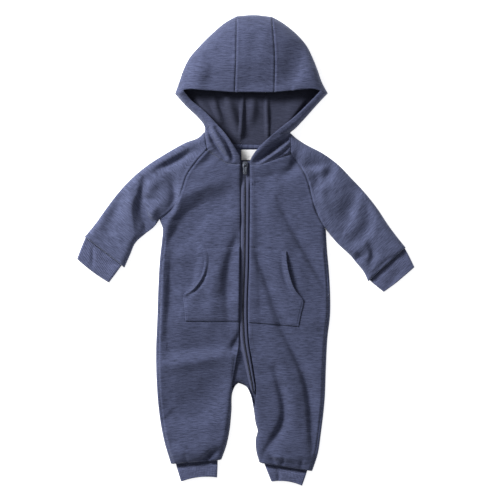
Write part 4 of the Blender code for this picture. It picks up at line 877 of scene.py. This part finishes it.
def sleeve(side):
    """The upper side straight across from the seam to the overarm, the under side back."""
    outward = -toward_centre(side)
    turn_share = knot_share(OVERARM[side], OVERARM_AT_ARMPIT)
    over = along(OVERARM[side], np.concatenate([
        turn_share * RAGLAN_SHARES, np.linspace(turn_share, 1, ARM_ROWS + 1)[1:]]))
    under = smooth(UNDERARM[side], ARM_ROWS + 1)[1:]
    front, back = (along(table[side], RAGLAN_SHARES) + (outward * SEAM / 2, 0)
                   for table in (FRONT_RAGLAN, BACK_RAGLAN))
    front[-1] = back[-1] = front[-1] + (outward * 0.2, 0)
    upper = raised(ruled(np.concatenate([front, under]), over, crowded(64, 0.7)), top_height)
    lower = raised(ruled(over, np.concatenate([back, under]), crowded(30, 0.93)), under_height)
    upper[:, -1, 2] = lower[:, 0, 2] = EDGE
    upper[RAGLAN_ROWS:, 0, 2] = lower[RAGLAN_ROWS:, -1, 2] = EDGE
    return [upper, lower]


for side in SIDES:
    cloth("sleeve_" + side, sleeve(side), lit_sleeve_fleece, flip=side == "right")


# %% [markdown]
# ## The hood
#
# The hood is three pieces: two sides and a strip over the crown. It lies flattened with its
# mouth open toward the feet, so its upper side stands clear of its back. Below the brim each
# side is a narrow lip that turns from the mouth's hemmed edge down to the table, and runs on
# to the neck seam in front. Between the lip and the neck seam the cloth is folded into troughs.

# %% The brim and the hood's columns
HOOD_ROWS, TURN_ROWS, NECK_ROWS = 60, 36, 56
BRIM_LINE = smooth(BRIM, 240)
BRIM_HEM, LIP_HEM = 9.0, 7.0
HEM_RISE, STITCH_GROOVE = 0.9, 0.5      # a doubled hem's extra height, its stitching's depth
LIP_FROM, LIP_COLUMNS = 0.86, 22        # the lip begins at this share of the hood's width
LIP_LOWEST = 4.6
SLEEVE_ROWS, BACK_ROWS = 18, 8          # rows beside the sleeve, in front and at the back
SLEEVE_GAP = 0.25
SETTLED = 0.065                         # the floor of the mouth lies flat from this share on
LIP_SHARES = 1 - (1 - np.linspace(0, 1, LIP_COLUMNS)) ** 1.7
TOP_SHARES = np.concatenate([np.linspace(0, LIP_FROM, 44)[:-1],
                             LIP_FROM + (1 - LIP_FROM) * LIP_SHARES])
FLOOR_SHARES = np.concatenate([SETTLED * np.linspace(0, 1, 10) ** 1.5,
                               np.linspace(SETTLED, 1, 40)[1:]])


def hem_step(distance, width):
    """A doubled hem: one thickness higher up to its width from the edge, with a soft step and a
    groove where it is stitched."""
    step = 1 / (1 + np.exp((distance - width) / 0.5))
    return HEM_RISE * step - STITCH_GROOVE * bell(distance, 0.8, width - 1.2)


def add_sewing(upper, seams, folded_edge):
    """Adds the brim's hem and the pull of the seams, which fade out at a folded edge."""
    x, y = upper[..., 0], upper[..., 1]
    detail = hem_step(nearest(x, y, BRIM_LINE)[0], BRIM_HEM) + seam_pull(x, y, seams)
    upper[..., 2] += detail * rising(nearest(x, y, folded_edge)[0], 0, 8)


# %% Hood sides: the two faces
def hood_faces(side):
    """The upper side from the crown seam to the folded edge, and the under side from there to
    the back seam."""
    inward = toward_centre(side)
    y = np.linspace(HOOD_SIDE[side][0][1] - 0.8, HOOD_SIDE[side][-1][1], HOOD_ROWS + 1)
    fold = edge_at(HOOD_SIDE[side], y)
    seam_top, seam_floor = (edge_at(table[side], y, -inward * SEAM / 2)
                            for table in (OUTER_SEAM, INNER_SEAM))
    plan = ruled(seam_top, fold, TOP_SHARES)
    rise = np.linspace(0, 1, HOOD_ROWS + 1)[:, None] ** 2
    plan[..., 1] += rise * (y_on(BRIM_LINE, plan[-1, :, 0]) - plan[-1, :, 1])
    upper = raised(plan, hood_height)
    add_sewing(upper, [smooth(OUTER_SEAM[side])], smooth(HOOD_SIDE[side]))
    lower = raised(ruled(fold, seam_floor, FLOOR_SHARES), hood_floor)
    upper[:, -1, 2] = lower[:, 0, 2] = HOOD_EDGE
    return upper, lower


# %% Hood sides: the lip
def lip_outline(side, brim_part):
    """The mouth's edge, and opposite it the turn of the fold and the seam to the sleeve and the
    front's neck."""
    inward = toward_centre(side)
    mouth_line = [tuple(brim_part[0])] + MOUTH[side]
    notch = knot_share(mouth_line, MOUTH_AT_NOTCH[side] + 1)
    mouth = along(mouth_line, np.concatenate([
        np.linspace(0, notch, TURN_ROWS + 1), np.linspace(notch, 1, NECK_ROWS + 1)[1:]]))
    turn = smooth(TURN[side], TURN_ROWS + 1)
    turn[0] = brim_part[-1]
    corner, shoulder = np.array(OVERARM[side][0], float), np.array(FRONT_NECK[side][-1], float)
    on_sleeve = np.linspace(0, 1, SLEEVE_ROWS + 1)[1:, None]
    on_front = np.linspace(1, 0, NECK_ROWS - SLEEVE_ROWS + 1)
    neck = np.concatenate([corner + (shoulder - corner) * on_sleeve,
                           along(FRONT_NECK[side], on_front)[1:]])
    neck += (inward * SLEEVE_GAP, NECK_SEAM)
    neck[-1, 0] -= inward * 0.2
    return mouth, turn, np.column_stack([neck, top_height(neck[:, 0], neck[:, 1])])


def hood_lip(mouth, turn, neck, brim_part):
    """A Coons patch that bulges between its edges, with troughs, ripples and the mouth's hem,
    all of which fade out at the brim and at the neck seam."""
    edge = np.concatenate([turn, neck])
    lip = coons(mouth, edge, brim_part, between(mouth[-1], edge[-1], LIP_SHARES), LIP_SHARES,
                power=6.0)
    drop = lip[:, :1, 2] - lip[:, -1:, 2]
    lip[..., 2] += drop * (LIP_SHARES - LIP_SHARES ** 3)
    from_edge = np.linalg.norm(lip - lip[:, :1], axis=2)
    to_seam = np.linalg.norm(lip - lip[:, -1:], axis=2)
    down_lip = np.linspace(0, 1, len(lip))[:, None]
    troughs = fold_sum(lip[..., 0], lip[..., 1], LIP_FOLDS) * rising(from_edge, 0, 4)
    room = rising(to_seam, 0, 6) * rising(down_lip, 0, 0.125)
    lip[..., 2] += (troughs + 1.2 * unevenness(lip[..., 0], lip[..., 1])) * room
    lip[..., 2] = np.maximum(lip[..., 2], LIP_LOWEST) + hem_step(from_edge, LIP_HEM) * room
    lip[0], lip[:, -1] = brim_part, edge
    return lip


# %% Hood sides: the floor of the mouth
def mouth_floor(side, turn, row_above):
    """From the turn of the fold to the back seam, settling on the table, and down to the neck."""
    inward = toward_centre(side)
    corner, back_corner = (np.array(p, float) for p in (OVERARM[side][0], BACK_NECK[side][-1]))
    on_sleeve = np.linspace(0, 1, BACK_ROWS + 1)[1:, None]
    beside_sleeve = corner + (back_corner - corner) * on_sleeve + (inward * SLEEVE_GAP, NECK_SEAM)
    edge = np.concatenate([turn, np.column_stack([beside_sleeve,
                                                  under_height(*beside_sleeve.T)])])
    neck_end = share_at_x(BACK_NECK[side], INNER_SEAM[side][-1][0] - inward * SEAM / 2)
    neck = along(BACK_NECK[side], 1 - (1 - neck_end) * FLOOR_SHARES)
    neck += (inward * SLEEVE_GAP, NECK_SEAM)
    seam_y = np.linspace(HOOD_SIDE[side][-1][1], neck[-1, 1], len(edge))
    seam = edge_at(INNER_SEAM[side], seam_y, -inward * SEAM / 2)
    neck[0], neck[-1] = edge[-1, :2], seam[-1]
    plan = coons(edge[:, :2], seam, row_above[:, :2], neck, FLOOR_SHARES, power=1.5)
    height = (1 - rounded(FLOOR_SHARES, SETTLED)) * edge[:, 2:]
    floor = np.dstack([plan, height + floor_lift(plan[..., 0], plan[..., 1])])
    floor[0], floor[:, 0] = row_above, edge
    return floor


def hood_side(side):
    """The two faces, the lip beside the mouth and the floor of the mouth."""
    upper, lower = hood_faces(side)
    brim_part = upper[-1, -LIP_COLUMNS:]
    mouth, turn, neck = lip_outline(side, brim_part)
    return [upper, lower, hood_lip(mouth, turn, neck, brim_part),
            mouth_floor(side, turn, lower[-1])]


for side in SIDES:
    cloth("hood_" + side, hood_side(side), hood_fleece, flip=side == "right",
          shaded_lining=shaded_inside_knit)


# %% Hood centre and neck tape
def hood_centre():
    """One strip from the brim over the crown and down the back to the neck. Its rows bend more
    and more toward the crown's curve, the nearer they are to it."""
    brim_y, crown_y = BRIM[4][1], CROWN[1][1]
    shares = crowded(32, 0.4)
    first, last = CROWN[0][0] + SEAM / 2, CROWN[2][0] - SEAM / 2
    edge_x = first + (last - first) * shares
    edge_y = y_on(smooth(CROWN), edge_x)

    def strip(table, y):
        plan = ruled(edge_at(table["left"], y, SEAM / 2), edge_at(table["right"], y, -SEAM / 2),
                     shares)
        plan[..., 1] += rising(plan[:, :1, 1], 340, 56) * (edge_y - crown_y)
        return plan

    plan = strip(OUTER_SEAM, np.concatenate([np.linspace(brim_y, crown_y - 20, 46),
                                             crown_y - np.array([16, 12, 9, 6, 4, 2])]))
    near_brim = 1 - rising(plan[..., 1], brim_y, 30)
    plan[..., 1] += near_brim * (y_on(BRIM_LINE, plan[0, :, 0]) - brim_y)
    upper = raised(plan, hood_height)
    add_sewing(upper, [smooth(OUTER_SEAM[side]) for side in SIDES], smooth(CROWN))
    crown = np.column_stack([edge_x, edge_y, np.full(len(shares), HOOD_EDGE)])[None]
    plan = strip(INNER_SEAM, np.concatenate([
        crown_y - np.array([1, 2.5, 4.5, 7, 10, 14, 18]),
        np.linspace(crown_y - 24, BACK_NECK["left"][0][1] + NECK_SEAM, 60)]))
    back_neck = np.concatenate([smooth(BACK_NECK["left"])[::-1], smooth(BACK_NECK["right"])])
    plan[-1, :, 1] = NECK_SEAM + y_on(back_neck, plan[-1, :, 0])
    return [np.concatenate([upper, crown, raised(plan, hood_floor)])]


def neck_tape():
    """A strip either side of a smooth line along the back neck, a little crowned."""
    line = smooth([(-40, 178.5), (0, 176.6), (14, 176.4), (34, 177), (52, 179)])
    shares = np.linspace(0, 1, 6)
    crown = 3.0 + 0.35 * np.sin(np.pi * shares)
    return [np.dstack([ruled(line - (0, 4.5), line + (0, 1.5), shares),
                       np.tile(crown, (len(line), 1))])]


tape_on_neck = cloth("neck_tape", neck_tape(), hood_fleece, thickness=TAPE, flip=True)
cloth("hood_centre", hood_centre(), hood_fleece,
      shaded_lining=shaded_inside_knit)


# %% [markdown]
# ## The cuffs
#
# The cuffs are a two-by-two rib: raised ribs with narrow valleys that let the knit stretch. A
# section of the flattened tube is swept from the seam to the far edge; the ribs are a cosine
# raised on the upper side and round the folded ends, and the under side rests flat.

# %% Cuffs
RIB_PITCH, RIB_HEIGHT = 2.9, 0.55
CUFF_ROWS = 24
PUFF, SEAM_DIP, PINCH_RUN = 0.5, 0.9, 8.0
RIB_SUNK = 0.4           # the valleys lie this much below the section, the ribs above it
CUFF_FOLDS = [
    Fold("right cuff dent", -2.6, 5, 12, (264, -26), (253, -45), (237, -61)),
    Fold("left cuff corner", -2.6, 3, 4, (-258, 7), (-257, -9), (-258, -30)),
    Fold("left cuff arc", -2.0, 4, 4, (-245, -3), (-236, -18), (-211, -26)),
    Fold("right ankle cuff crease", -2.4, 3, 4, (48, -359), (56, -376), (53, -396)),
]


def cuff_section(width):
    """Round the flattened tube: a middle that runs along the top and back, plus a radius turned
    outward. Gives the place across, the height, the outward direction and the rib's height."""
    radius = CUFF_HEIGHT / 2
    flat = width - 2 * radius
    columns = 10 * int(flat / RIB_PITCH)
    top, low = np.linspace(0, flat, columns), np.linspace(flat, 0, columns // 3)
    arc = np.linspace(0, np.pi, 22)[1:-1]
    turn = np.concatenate([np.zeros(columns), arc, np.full(len(low), np.pi), np.pi + arc])
    middle = radius + np.concatenate([top, np.full(len(arc), flat), low, np.zeros(len(arc))])
    out_x, out_z = np.sin(turn), np.cos(turn)
    across, height = middle + radius * out_x, radius + radius * out_z
    length = np.concatenate([[0], np.cumsum(np.hypot(np.diff(across), np.diff(height)))])
    rib = np.abs(np.cos(np.pi * length / RIB_PITCH)) ** 0.7 * rising(out_z, -0.6, 1)
    return across, height, out_x, out_z, RIB_HEIGHT * rib


def cuff(size):
    """The section swept from the hem seam to the far edge, narrowing between them, and pulled
    in a little at the seam, where its height is scaled down by a bell."""
    hem_a, hem_b, end_a, end_b = (np.array(p, float) for p in (size.hem_a, size.hem_b,
                                                              size.end_a, size.end_b))
    direction = unit(hem_b - hem_a)
    away = -turned_left(direction)
    start_a = hem_a + direction * size.in_a + away * SEAM
    start_b = hem_b - direction * size.in_b + away * SEAM
    across, height, out_x, out_z, rib = cuff_section(np.linalg.norm(start_b - start_a))
    share = across / across.max()
    row = np.linspace(0, 1, CUFF_ROWS + 1)[:, None]
    a = start_a + (end_a - start_a) * row
    b = start_b + (end_b - start_b) * row
    bow = size.bow * row * 4 * share * (1 - share)
    plan = a[:, None] + share[None, :, None] * (b - a)[:, None] + bow[..., None] * away
    puff = PUFF * np.sin(np.pi * np.clip(row * 1.1, 0, 1)) - SEAM_DIP * np.exp(-row * 12)
    puff = puff + small_fold_sum(plan[..., 0], plan[..., 1], CUFF_FOLDS)
    rise = (rib - RIB_SUNK + puff * rising(out_z, 0, 0.5)) * (out_z > -0.5)
    flattened = 1 - size.pinch * bell(row * np.linalg.norm(end_a - start_a), PINCH_RUN)
    return [np.dstack([plan + (rise * out_x)[..., None] * unit(b - a)[:, None],
                       (height + rise * out_z) * flattened])]


for name, size in CUFFS.items():
    cloth(name, cuff(size), rib_knit, flip=True, closed=True, ending="_rib")


# %% [markdown]
# ## The pocket
#
# The pocket is one shape cut in two by the zip. Each half is sewn down along its top, its lower
# side and its foot; the slanted edge is hemmed and open. The half takes the heights of the front
# under it, moved out by its own thickness, so it never sinks in, and its hem stands off.

# %% Pockets
POCKET_LIFT, POCKET_SEWN = CLOTH + 0.7, 1.0     # over the front: loose, and where it is sewn
POCKET_FOLDS = {
    "left": [Fold("curled hem dip", -1.8, 5, 5, (-66, -22), (-76, -52), (-96, -72))],
    "right": [Fold("hem dip", -0.8, 5, 5, (60, -16), (64, -40), (84, -74))],
}
OPENING_END = 0.70                              # the opening ends at this share of the side
SEWN_RUN, SEWN_GROOVE, HEM_GROOVE = 5.0, 3.0, 8.0    # distances from the sewn or open edge


def hem_lift(side, distance):
    """How the slanted hem stands off. On the left it curls: a bell whose top lies 3.4 mm in
    from the edge. On the right it gapes: a bell whose top is the edge itself."""
    if side == "left":
        return 4.6 * bell(distance, 2.4, 3.4) - 1.8 * bell(distance, 2.6, 8.5)
    return 6.4 * bell(distance, 5.0) - 0.8 * bell(distance, 3.0, 10.0)


def along_opening(side, share):
    """A half sine whose top is moved toward the foot of the left opening, and toward the head
    of the right one, by a power of the share."""
    return np.sin(np.pi * share ** (1.7 if side == "left" else 0.8)) ** 1.2


def pocket(side):
    """A Coons patch in plan; its height is the front's plus its thickness, pressed down at the
    sewn edges, with a lift along the opening and grooves where it is stitched."""
    shape = POCKET[side]
    inner, outer = smooth(shape["inner"], 91), smooth(shape["side"], 91)
    shares = crowded(66, 0.5)
    foot = between(inner[-1], outer[-1], shares)
    plan = coons(inner, outer, along(shape["top"], shares), foot, shares, power=2.0)
    x, y = plan[..., 0], plan[..., 1]
    opening_line = along(shape["side"], np.linspace(0, OPENING_END, 60))
    from_opening, _, how_far = nearest(x, y, opening_line)
    lower_side = along(shape["side"], np.linspace(OPENING_END, 1, 20))
    from_sewn = edge_distance(x, y, [smooth(shape["top"]), lower_side, foot[[0, -1]]])
    pressed = (1 - rising(from_sewn, 0, SEWN_RUN)) ** 2
    lift = (POCKET_LIFT + (POCKET_SEWN - POCKET_LIFT) * pressed
            + along_opening(side, how_far) * hem_lift(side, from_opening)
            + small_fold_sum(x, y, POCKET_FOLDS[side])
            - 0.5 * bell(from_sewn, 0.8, SEWN_GROOVE) - 0.4 * bell(from_opening, 0.8, HEM_GROOVE))
    return [np.dstack([plan, top_height(x, y) + lift])]


for side in SIDES:
    cloth("pocket_" + side, pocket(side), fleece, flip=side == "right")


# %% [markdown]
# ## The zip
#
# A coil zip: two woven tapes, a nylon coil whose turns lock in the middle, and a cast slider.
# The turns are one small bead repeated along the line by whole-array copying. The slider is a
# rounded body with a bail, and the pull tab hooks over it and swings on its own body.

# %% Zip materials
def tape_material():
    """A dark woven tape: a fine wave along it as bump, and slightly mottled colour."""
    tree = Tree("zip tape")
    mottle = tree.noise(tree.millimetres(), 0.8, 3.0)
    weave = tree.wave(tree.millimetres(), 0.45, 0.4)
    colour = tree.ramp(mottle, (0.3, (0.050, 0.057, 0.104)), (0.7, (0.086, 0.097, 0.172)))
    return tree.finish(Base_Color=colour, Roughness=0.85, Normal=tree.bump(weave, 0.5, 0.0003),
                       Specular_IOR_Level=0.3)


def mottled(name, scale, dark, light, rough, detail=2.0, roughness=0.6, metallic=0.0):
    """A hard finish: one noise chooses the colour and how glossy it is."""
    tree = Tree(name)
    mottle = tree.noise(tree.place(), scale, detail, roughness)
    gloss = tree.add("MapRange", {"Value": mottle, "To Min": rough[0], "To Max": rough[1]})
    return tree.finish(Base_Color=tree.ramp(mottle, dark, light), Roughness=gloss,
                       Metallic=metallic)


tape_cloth = tape_material()
coil_nylon = mottled("zip coil", 900.0, (0.3, (0.010, 0.011, 0.021)),
                     (0.7, (0.020, 0.023, 0.042)), (0.35, 0.55))
slider_metal = mottled("slider metal", 600.0, (0.42, (0.07, 0.08, 0.11)),
                       (0.66, (0.22, 0.24, 0.29)), (0.28, 0.5), 4.0, 0.7, 0.85)


# %% Tapes
ZIP_RISE = 3.7           # how far the middle of the zip stands over its edges
COIL_GROOVE = 1.1
TUCKED = 3.2             # how far a tape reaches under the front's folded edge
CROTCH_Y = -223


def below_slider(y):
    """0 under the slider, 1 from 18 mm further down."""
    return rising(-y, -121, 18)


def zip_tape(side):
    """A strip beside the zip's line, arched, with a groove for the coil. Its outer edge lies
    under the front; near the lower end the left one shows, and it clears the right leg."""
    line = smooth(ZIP_LINE, 140)
    y = line[:, 1:]
    out = -toward_centre(side) * turned_left(unit(np.gradient(line, axis=0)))
    inner = line + out * 0.3
    band = ZIP_BAND + (ZIP_END_BAND - ZIP_BAND) * rising(-y, 150, -ZIP_LINE[-1][1] - 150)
    tucked = TUCKED - (2.6 * rising(-y, 128, 30) if side == "left" else 0.0)
    outer = line + out * (band + tucked)
    if side == "left":
        beside_leg = edge_at(INNER_LEG["right"], line[:, 1])[:, 0] + 4.2
        least = np.where(line[:, 1] < CROTCH_Y, beside_leg, -np.inf)
        outer[:, 0] = np.minimum(np.maximum(outer[:, 0], least), inner[:, 0] - 1.0)
    shares = np.array([0, 0.12, 0.25, 0.38, 0.48, 0.54, 0.58, 0.62, 0.66, 0.7, 0.76, 0.88, 1])
    plateau = (1 - 0.25 * shares) / (1 + np.exp((shares - 0.62) / 0.03))
    arch = (ZIP_RISE * plateau - COIL_GROOVE * bell(shares, 0.16)) * below_slider(y)
    return [np.dstack([ruled(inner, outer, shares), TAPE_TOP + arch])]


for side in SIDES:
    cloth("zip_tape_" + side, zip_tape(side), tape_cloth, TAPE,
          flip=side == "right")


# %% Small solid shapes
def circle(turns):
    """The cosine and the sine of evenly spaced angles."""
    angle = np.linspace(0, 2 * np.pi, turns, endpoint=False)
    return np.column_stack([np.cos(angle), np.sin(angle)])


def superellipse(half_width, half_length, power, turns):
    """A rounded rectangle: cosine and sine raised to 2 over the power, with their signs."""
    arms = circle(turns)
    return np.sign(arms) * np.abs(arms) ** (2 / power) * (half_width, half_length)


def at_height(ring, z):
    return np.column_stack([ring, np.full(len(ring), z)])


def skin(rings, joined=False):
    """Points and faces of a skin through rings of points. The first and the last ring are
    capped, or joined to each other as in a frame round a hole."""
    index = np.arange(rings[..., 0].size).reshape(rings.shape[:2])
    rows = np.vstack([index, index[:1]]) if joined else index
    faces = cells(np.column_stack([rows, rows[:, 0]])).reshape(-1, 4).tolist()
    caps = [] if joined else [index[-1].tolist(), index[0, ::-1].tolist()]
    return rings.reshape(-1, 3), faces + caps


def bead(length, width, height, turns=8, stations=6):
    """An ellipsoid drawn out along x: a ring of points at each of a few stations, narrowing
    toward both ends by a fourth power."""
    station = np.linspace(-1, 1, stations)[:, None]
    girth = np.sqrt(np.clip(1 - station ** 4, 0.02, 1))
    round_it = circle(turns)
    points, faces = skin(np.stack([np.repeat(station * length / 2, turns, 1),
                                   girth * round_it[:, 0] * width / 2,
                                   girth * round_it[:, 1] * height / 2], axis=-1))
    return points, [face[::-1] for face in faces]


def solid_mesh(name, points, faces):
    """A smooth mesh from points in millimetres."""
    mesh = bpy.data.meshes.new(name)
    mesh.from_pydata(points * MM, [], faces)
    mesh.shade_smooth()
    return mesh


# %% Many copies of a shape along a line
def even_places(curve, pitch, start=0.0):
    """Places every pitch along a polygon, by linear interpolation of its length, and the
    direction there."""
    length = np.concatenate([[0], np.cumsum(steps(curve))])
    s = np.arange(start, length[-1] - 1e-6, pitch)
    places = np.column_stack([np.interp(s, length, values) for values in curve.T])
    ways = np.column_stack([np.interp(s, length, np.gradient(values, length))
                            for values in curve.T])
    return places, unit(ways)


def repeat(name, shape, places, ways, heights, material, tilt=0.0):
    """Copies a small shape to many places at once: each point is its place plus the shape's x
    along the way, its y across it and its z up; the tilt adds height by the shape's x."""
    points, faces = shape
    x, y, z = points.T[:, None]
    plan = (places[:, None] + x[..., None] * ways[:, None]
            + y[..., None] * turned_left(ways)[:, None])
    height = heights[:, None] + z + x * np.reshape(tilt, (-1, 1))
    faces = [[i + k * len(points) for i in face] for k in range(len(places)) for face in faces]
    mesh = solid_mesh(name, np.dstack([plan, height]).reshape(-1, 3), faces)
    return add_piece(name, mesh, material)


# %% The coil
SLIDER_Y, SLIDER_LENGTH, SLIDER_BODY, SLIDER_WIDTH = 144.0, 12.0, 3.0, 9.6
COIL_PITCH, STAGGER = 1.25, 0.35
COIL_TURN = bead(2.7, 1.05, 1.4)
zip_curve = smooth(ZIP_LINE, 400)
zip_curve = zip_curve[zip_curve[:, 1] < SLIDER_Y - SLIDER_LENGTH / 2 - 0.3]
turn_places, turn_ways = even_places(zip_curve, COIL_PITCH)
turn_across = turned_left(turn_ways)
staggered = np.where(np.arange(len(turn_places)) % 2 == 0, STAGGER, -STAGGER)[:, None]
coil = repeat("zip_coil_turns", COIL_TURN, turn_places + staggered * turn_across,
              turn_across, TAPE_TOP - 0.2 + ZIP_RISE * below_slider(turn_places[:, 1]),
              coil_nylon)
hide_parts("zip_chain")
print("turns of the coil:", len(turn_places))


# %% Cast pieces
SLIDER_X = edge_at(ZIP_LINE, np.array([SLIDER_Y]))[0, 0]


def cast(name, shapes, body):
    """Several skins as one metal piece beside the zip's line: normals turned outward, and edges
    sharper than 40 degrees kept sharp."""
    points, faces, first = [], [], 0
    for more_points, more_faces in shapes:
        points.append(more_points)
        faces += [[i + first for i in face] for face in more_faces]
        first += len(more_points)
    mesh = solid_mesh(name, np.concatenate(points) + (SLIDER_X, SLIDER_Y, 0), faces)
    obj = add_piece(name, mesh, slider_metal, body)
    work = bmesh.new()
    work.from_mesh(mesh)
    bmesh.ops.recalc_face_normals(work, faces=work.faces)
    work.to_mesh(mesh)
    work.free()
    mesh.set_sharp_from_angle(angle=0.7)
    return obj


# %% The slider
BAIL_HALF, BAIL_TOP, BAIL_WIDTH, BAIL_THICK = 2.2, 2.6, 2.0, 1.2
# Two plates with a waist between them: inset across and along, squareness, height.
SLIDER_RINGS = [(0.5, 0.5, 3.2, 0), (0, 0, 3.2, 0.4), (0, 0, 3.2, 1.1), (1.3, 0.5, 3, 1.2),
                (1.3, 0.5, 3, 1.8), (0, 0, 3.2, 1.9), (0, 0, 3.2, 2.6), (0.5, 0.5, 3.2, 3)]


def slider_body():
    """A stack of rounded outlines."""
    return skin(np.stack([
        at_height(superellipse(SLIDER_WIDTH / 2 - across, SLIDER_LENGTH / 2 - inset, power, 40),
                  CHAIN_BASE + z) for across, inset, power, z in SLIDER_RINGS]))


def bail():
    """A rounded bar whose middle is an arch in the y-z plane."""
    arch = np.linspace(0, np.pi, 20)
    line = np.column_stack([BAIL_HALF * np.cos(arch),
                            CHAIN_BASE + SLIDER_BODY - 0.3 + BAIL_TOP * np.sin(arch) ** 0.6])
    normal = turned_left(unit(np.gradient(line, axis=0)))[:, None]
    section = circle(10)
    x = np.tile(BAIL_WIDTH / 2 * section[:, 0], (len(line), 1))
    return skin(np.dstack([x, line[:, None] + normal * section[:, 1:] * BAIL_THICK / 2]))


slider = cast("cast_slider", [slider_body(), bail()], "garment")
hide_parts("zip_slider")
print("slider at", SLIDER_X, SLIDER_Y)


# %% The pull tab
TAB_HALF, TAB_GAP = 0.55, 0.3
PIVOT_Z = CHAIN_BASE + SLIDER_BODY + TAB_GAP + TAB_HALF
TAB_BEVEL = [(0.12, -0.55), (0.0, -0.3), (0.0, 0.3), (0.12, 0.55)]    # share of the size, height


def pull_tab():
    """Rings round the rim from below to above, then round the hole and back down, joined."""
    rim, hole = superellipse(3.2, 8.5, 5.0, 48), superellipse(1.6, 2.2, 4.0, 48)
    rings = [at_height(rim * (1 - bevel * np.array([0.8, 0.35])) + (0, -7.95), PIVOT_Z + z)
             for bevel, z in TAB_BEVEL]
    rings += [at_height(hole * (1 + bevel * 1.2) + (0, -2.75), PIVOT_Z + z)
              for bevel, z in TAB_BEVEL[::-1]]
    return skin(np.stack(rings), joined=True)


tab = cast("cast_pull_tab", [pull_tab()], "pull_tab")
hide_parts("pull_tab")
print("the tab swings", PIVOT_Z, "mm over the table")


# %% [markdown]
# ## The label
#
# A small white label is sewn inside the back neck. It is left bare.

# %% Label
def label_material():
    """White satin-woven tape: almost white with a fine diagonal weave as bump."""
    tree = Tree("label")
    weave = tree.wave(tree.millimetres(), 0.6)
    colour = tree.ramp(tree.noise(tree.millimetres(), 0.3), (0.3, grey(0.74)), (0.7, grey(0.84)))
    return tree.finish(Base_Color=colour, Roughness=0.6, Normal=tree.bump(weave, 0.3, 0.0002))


def neck_label():
    """A rectangle with a slight curl at its lower corners."""
    x, y = np.meshgrid(np.linspace(-7.5, 20.0, 24), np.linspace(152.0, 169.5, 16))
    curl = 1.2 * np.exp(-(y - 152.0) / 3.0) * (0.5 + 0.5 * np.sin((x - 2) / 5.0))
    return [np.dstack([x, y, 2.8 + curl])]


cloth("neck_label", neck_label(), label_material(), 0.5)

# %% [markdown]
# ## Sewing
#
# Stitches are short beads of thread laid end to end on the cloth. One low bead is copied along
# a line beside each front's edge, and its height is read from the same surface that the cloth
# was made from. Each bead is tilted by the slope from one millimetre behind it to one ahead.

# %% Thread and stitches
STITCH_PITCH, THREAD_LIFT = 3.0, 0.15
STITCH = bead(2.3, 0.55, 0.5, turns=6, stations=4)
FROM_EDGE = {"left": 5.0, "right": 6.6}         # the stitching's distance from the folded edge


def thread_material():
    """Matt thread a little darker than the cloth, slightly mottled."""
    tree = Tree("thread")
    colour = tree.ramp(tree.noise(tree.place(), 500.0), (0.3, (0.042, 0.052, 0.098)),
                       (0.7, (0.075, 0.088, 0.155)))
    return tree.finish(Base_Color=colour, Roughness=0.7)


beside_zip = [edge_at(FRONT_EDGE[side], np.linspace(140, -205, 200),
                      -toward_centre(side) * FROM_EDGE[side]) for side in SIDES]
places, ways = (np.concatenate(rows) for rows in zip(*[even_places(line, STITCH_PITCH, 1.0)
                                                       for line in beside_zip]))
slope = (top_height(*(places + ways).T) - top_height(*(places - ways).T)) / 2
repeat("front_stitching", STITCH, places, ways, top_height(*places.T) + THREAD_LIFT,
       thread_material(), tilt=slope)
print("stitches:", len(places))

# %% [markdown]
# ## The room
#
# The garment lies on a plain white surface. A large soft light from the upper left draws the
# folds, and an even white world fills the shadows.

# %% Floor
def floor_material():
    tree = Tree("studio floor")
    colour = tree.ramp(tree.noise(tree.place(), 40.0), (0.3, grey(0.92)), (0.7, grey(0.94)))
    return tree.finish(Base_Color=colour, Roughness=0.9, Emission_Color=(1.0, 1.0, 1.0, 1.0),
                       Emission_Strength=0.75)


bpy.ops.mesh.primitive_plane_add(size=6.0, location=(0, 0, -0.0006))
floor = bpy.context.object
floor.name = "floor"
floor.data.materials.append(floor_material())

# %% Light
KEY_PLACE, KEY_SIZE, KEY_POWER = (-1.66, 1.3, 1.3), 0.8, 108.0
key_data = bpy.data.lights.new("key", "AREA")
key_data.size, key_data.energy = KEY_SIZE, KEY_POWER
key = bpy.data.objects.new("key", key_data)
bpy.context.scene.collection.objects.link(key)
key.location = KEY_PLACE
key.rotation_euler = (-Vector(KEY_PLACE)).to_track_quat("-Z", "Y").to_euler()    # to the middle
world = bpy.data.worlds.new("room")
bpy.context.scene.world = world
world.use_nodes = True
background = world.node_tree.nodes["Background"]
background.inputs["Color"].default_value = (1, 1, 1, 1)
background.inputs["Strength"].default_value = 0.33
bpy.context.scene.view_settings.view_transform = "Standard"
print("key light", key.location.length, "m from the garment")

# %% Camera
PIXEL = 1.68                                # millimetres to a pixel of the photograph
PHOTO_CENTRE = (245.7, 250.4)               # the garment's middle in the photograph
CAMERA_HEIGHT, CLOTH_HEIGHT = 4.0, 0.011    # metres; the second is where a pixel is PIXEL wide
camera_data = bpy.data.cameras.new("camera")
camera_data.sensor_width = 36.0
camera_data.lens = 36.0 * (CAMERA_HEIGHT - CLOTH_HEIGHT) / (500 * PIXEL * MM)
camera = bpy.data.objects.new("camera", camera_data)
bpy.context.scene.collection.objects.link(camera)
camera.location = ((250 - PHOTO_CENTRE[0]) * PIXEL * MM, (PHOTO_CENTRE[1] - 250) * PIXEL * MM,
                   CAMERA_HEIGHT)
bpy.context.scene.camera = camera
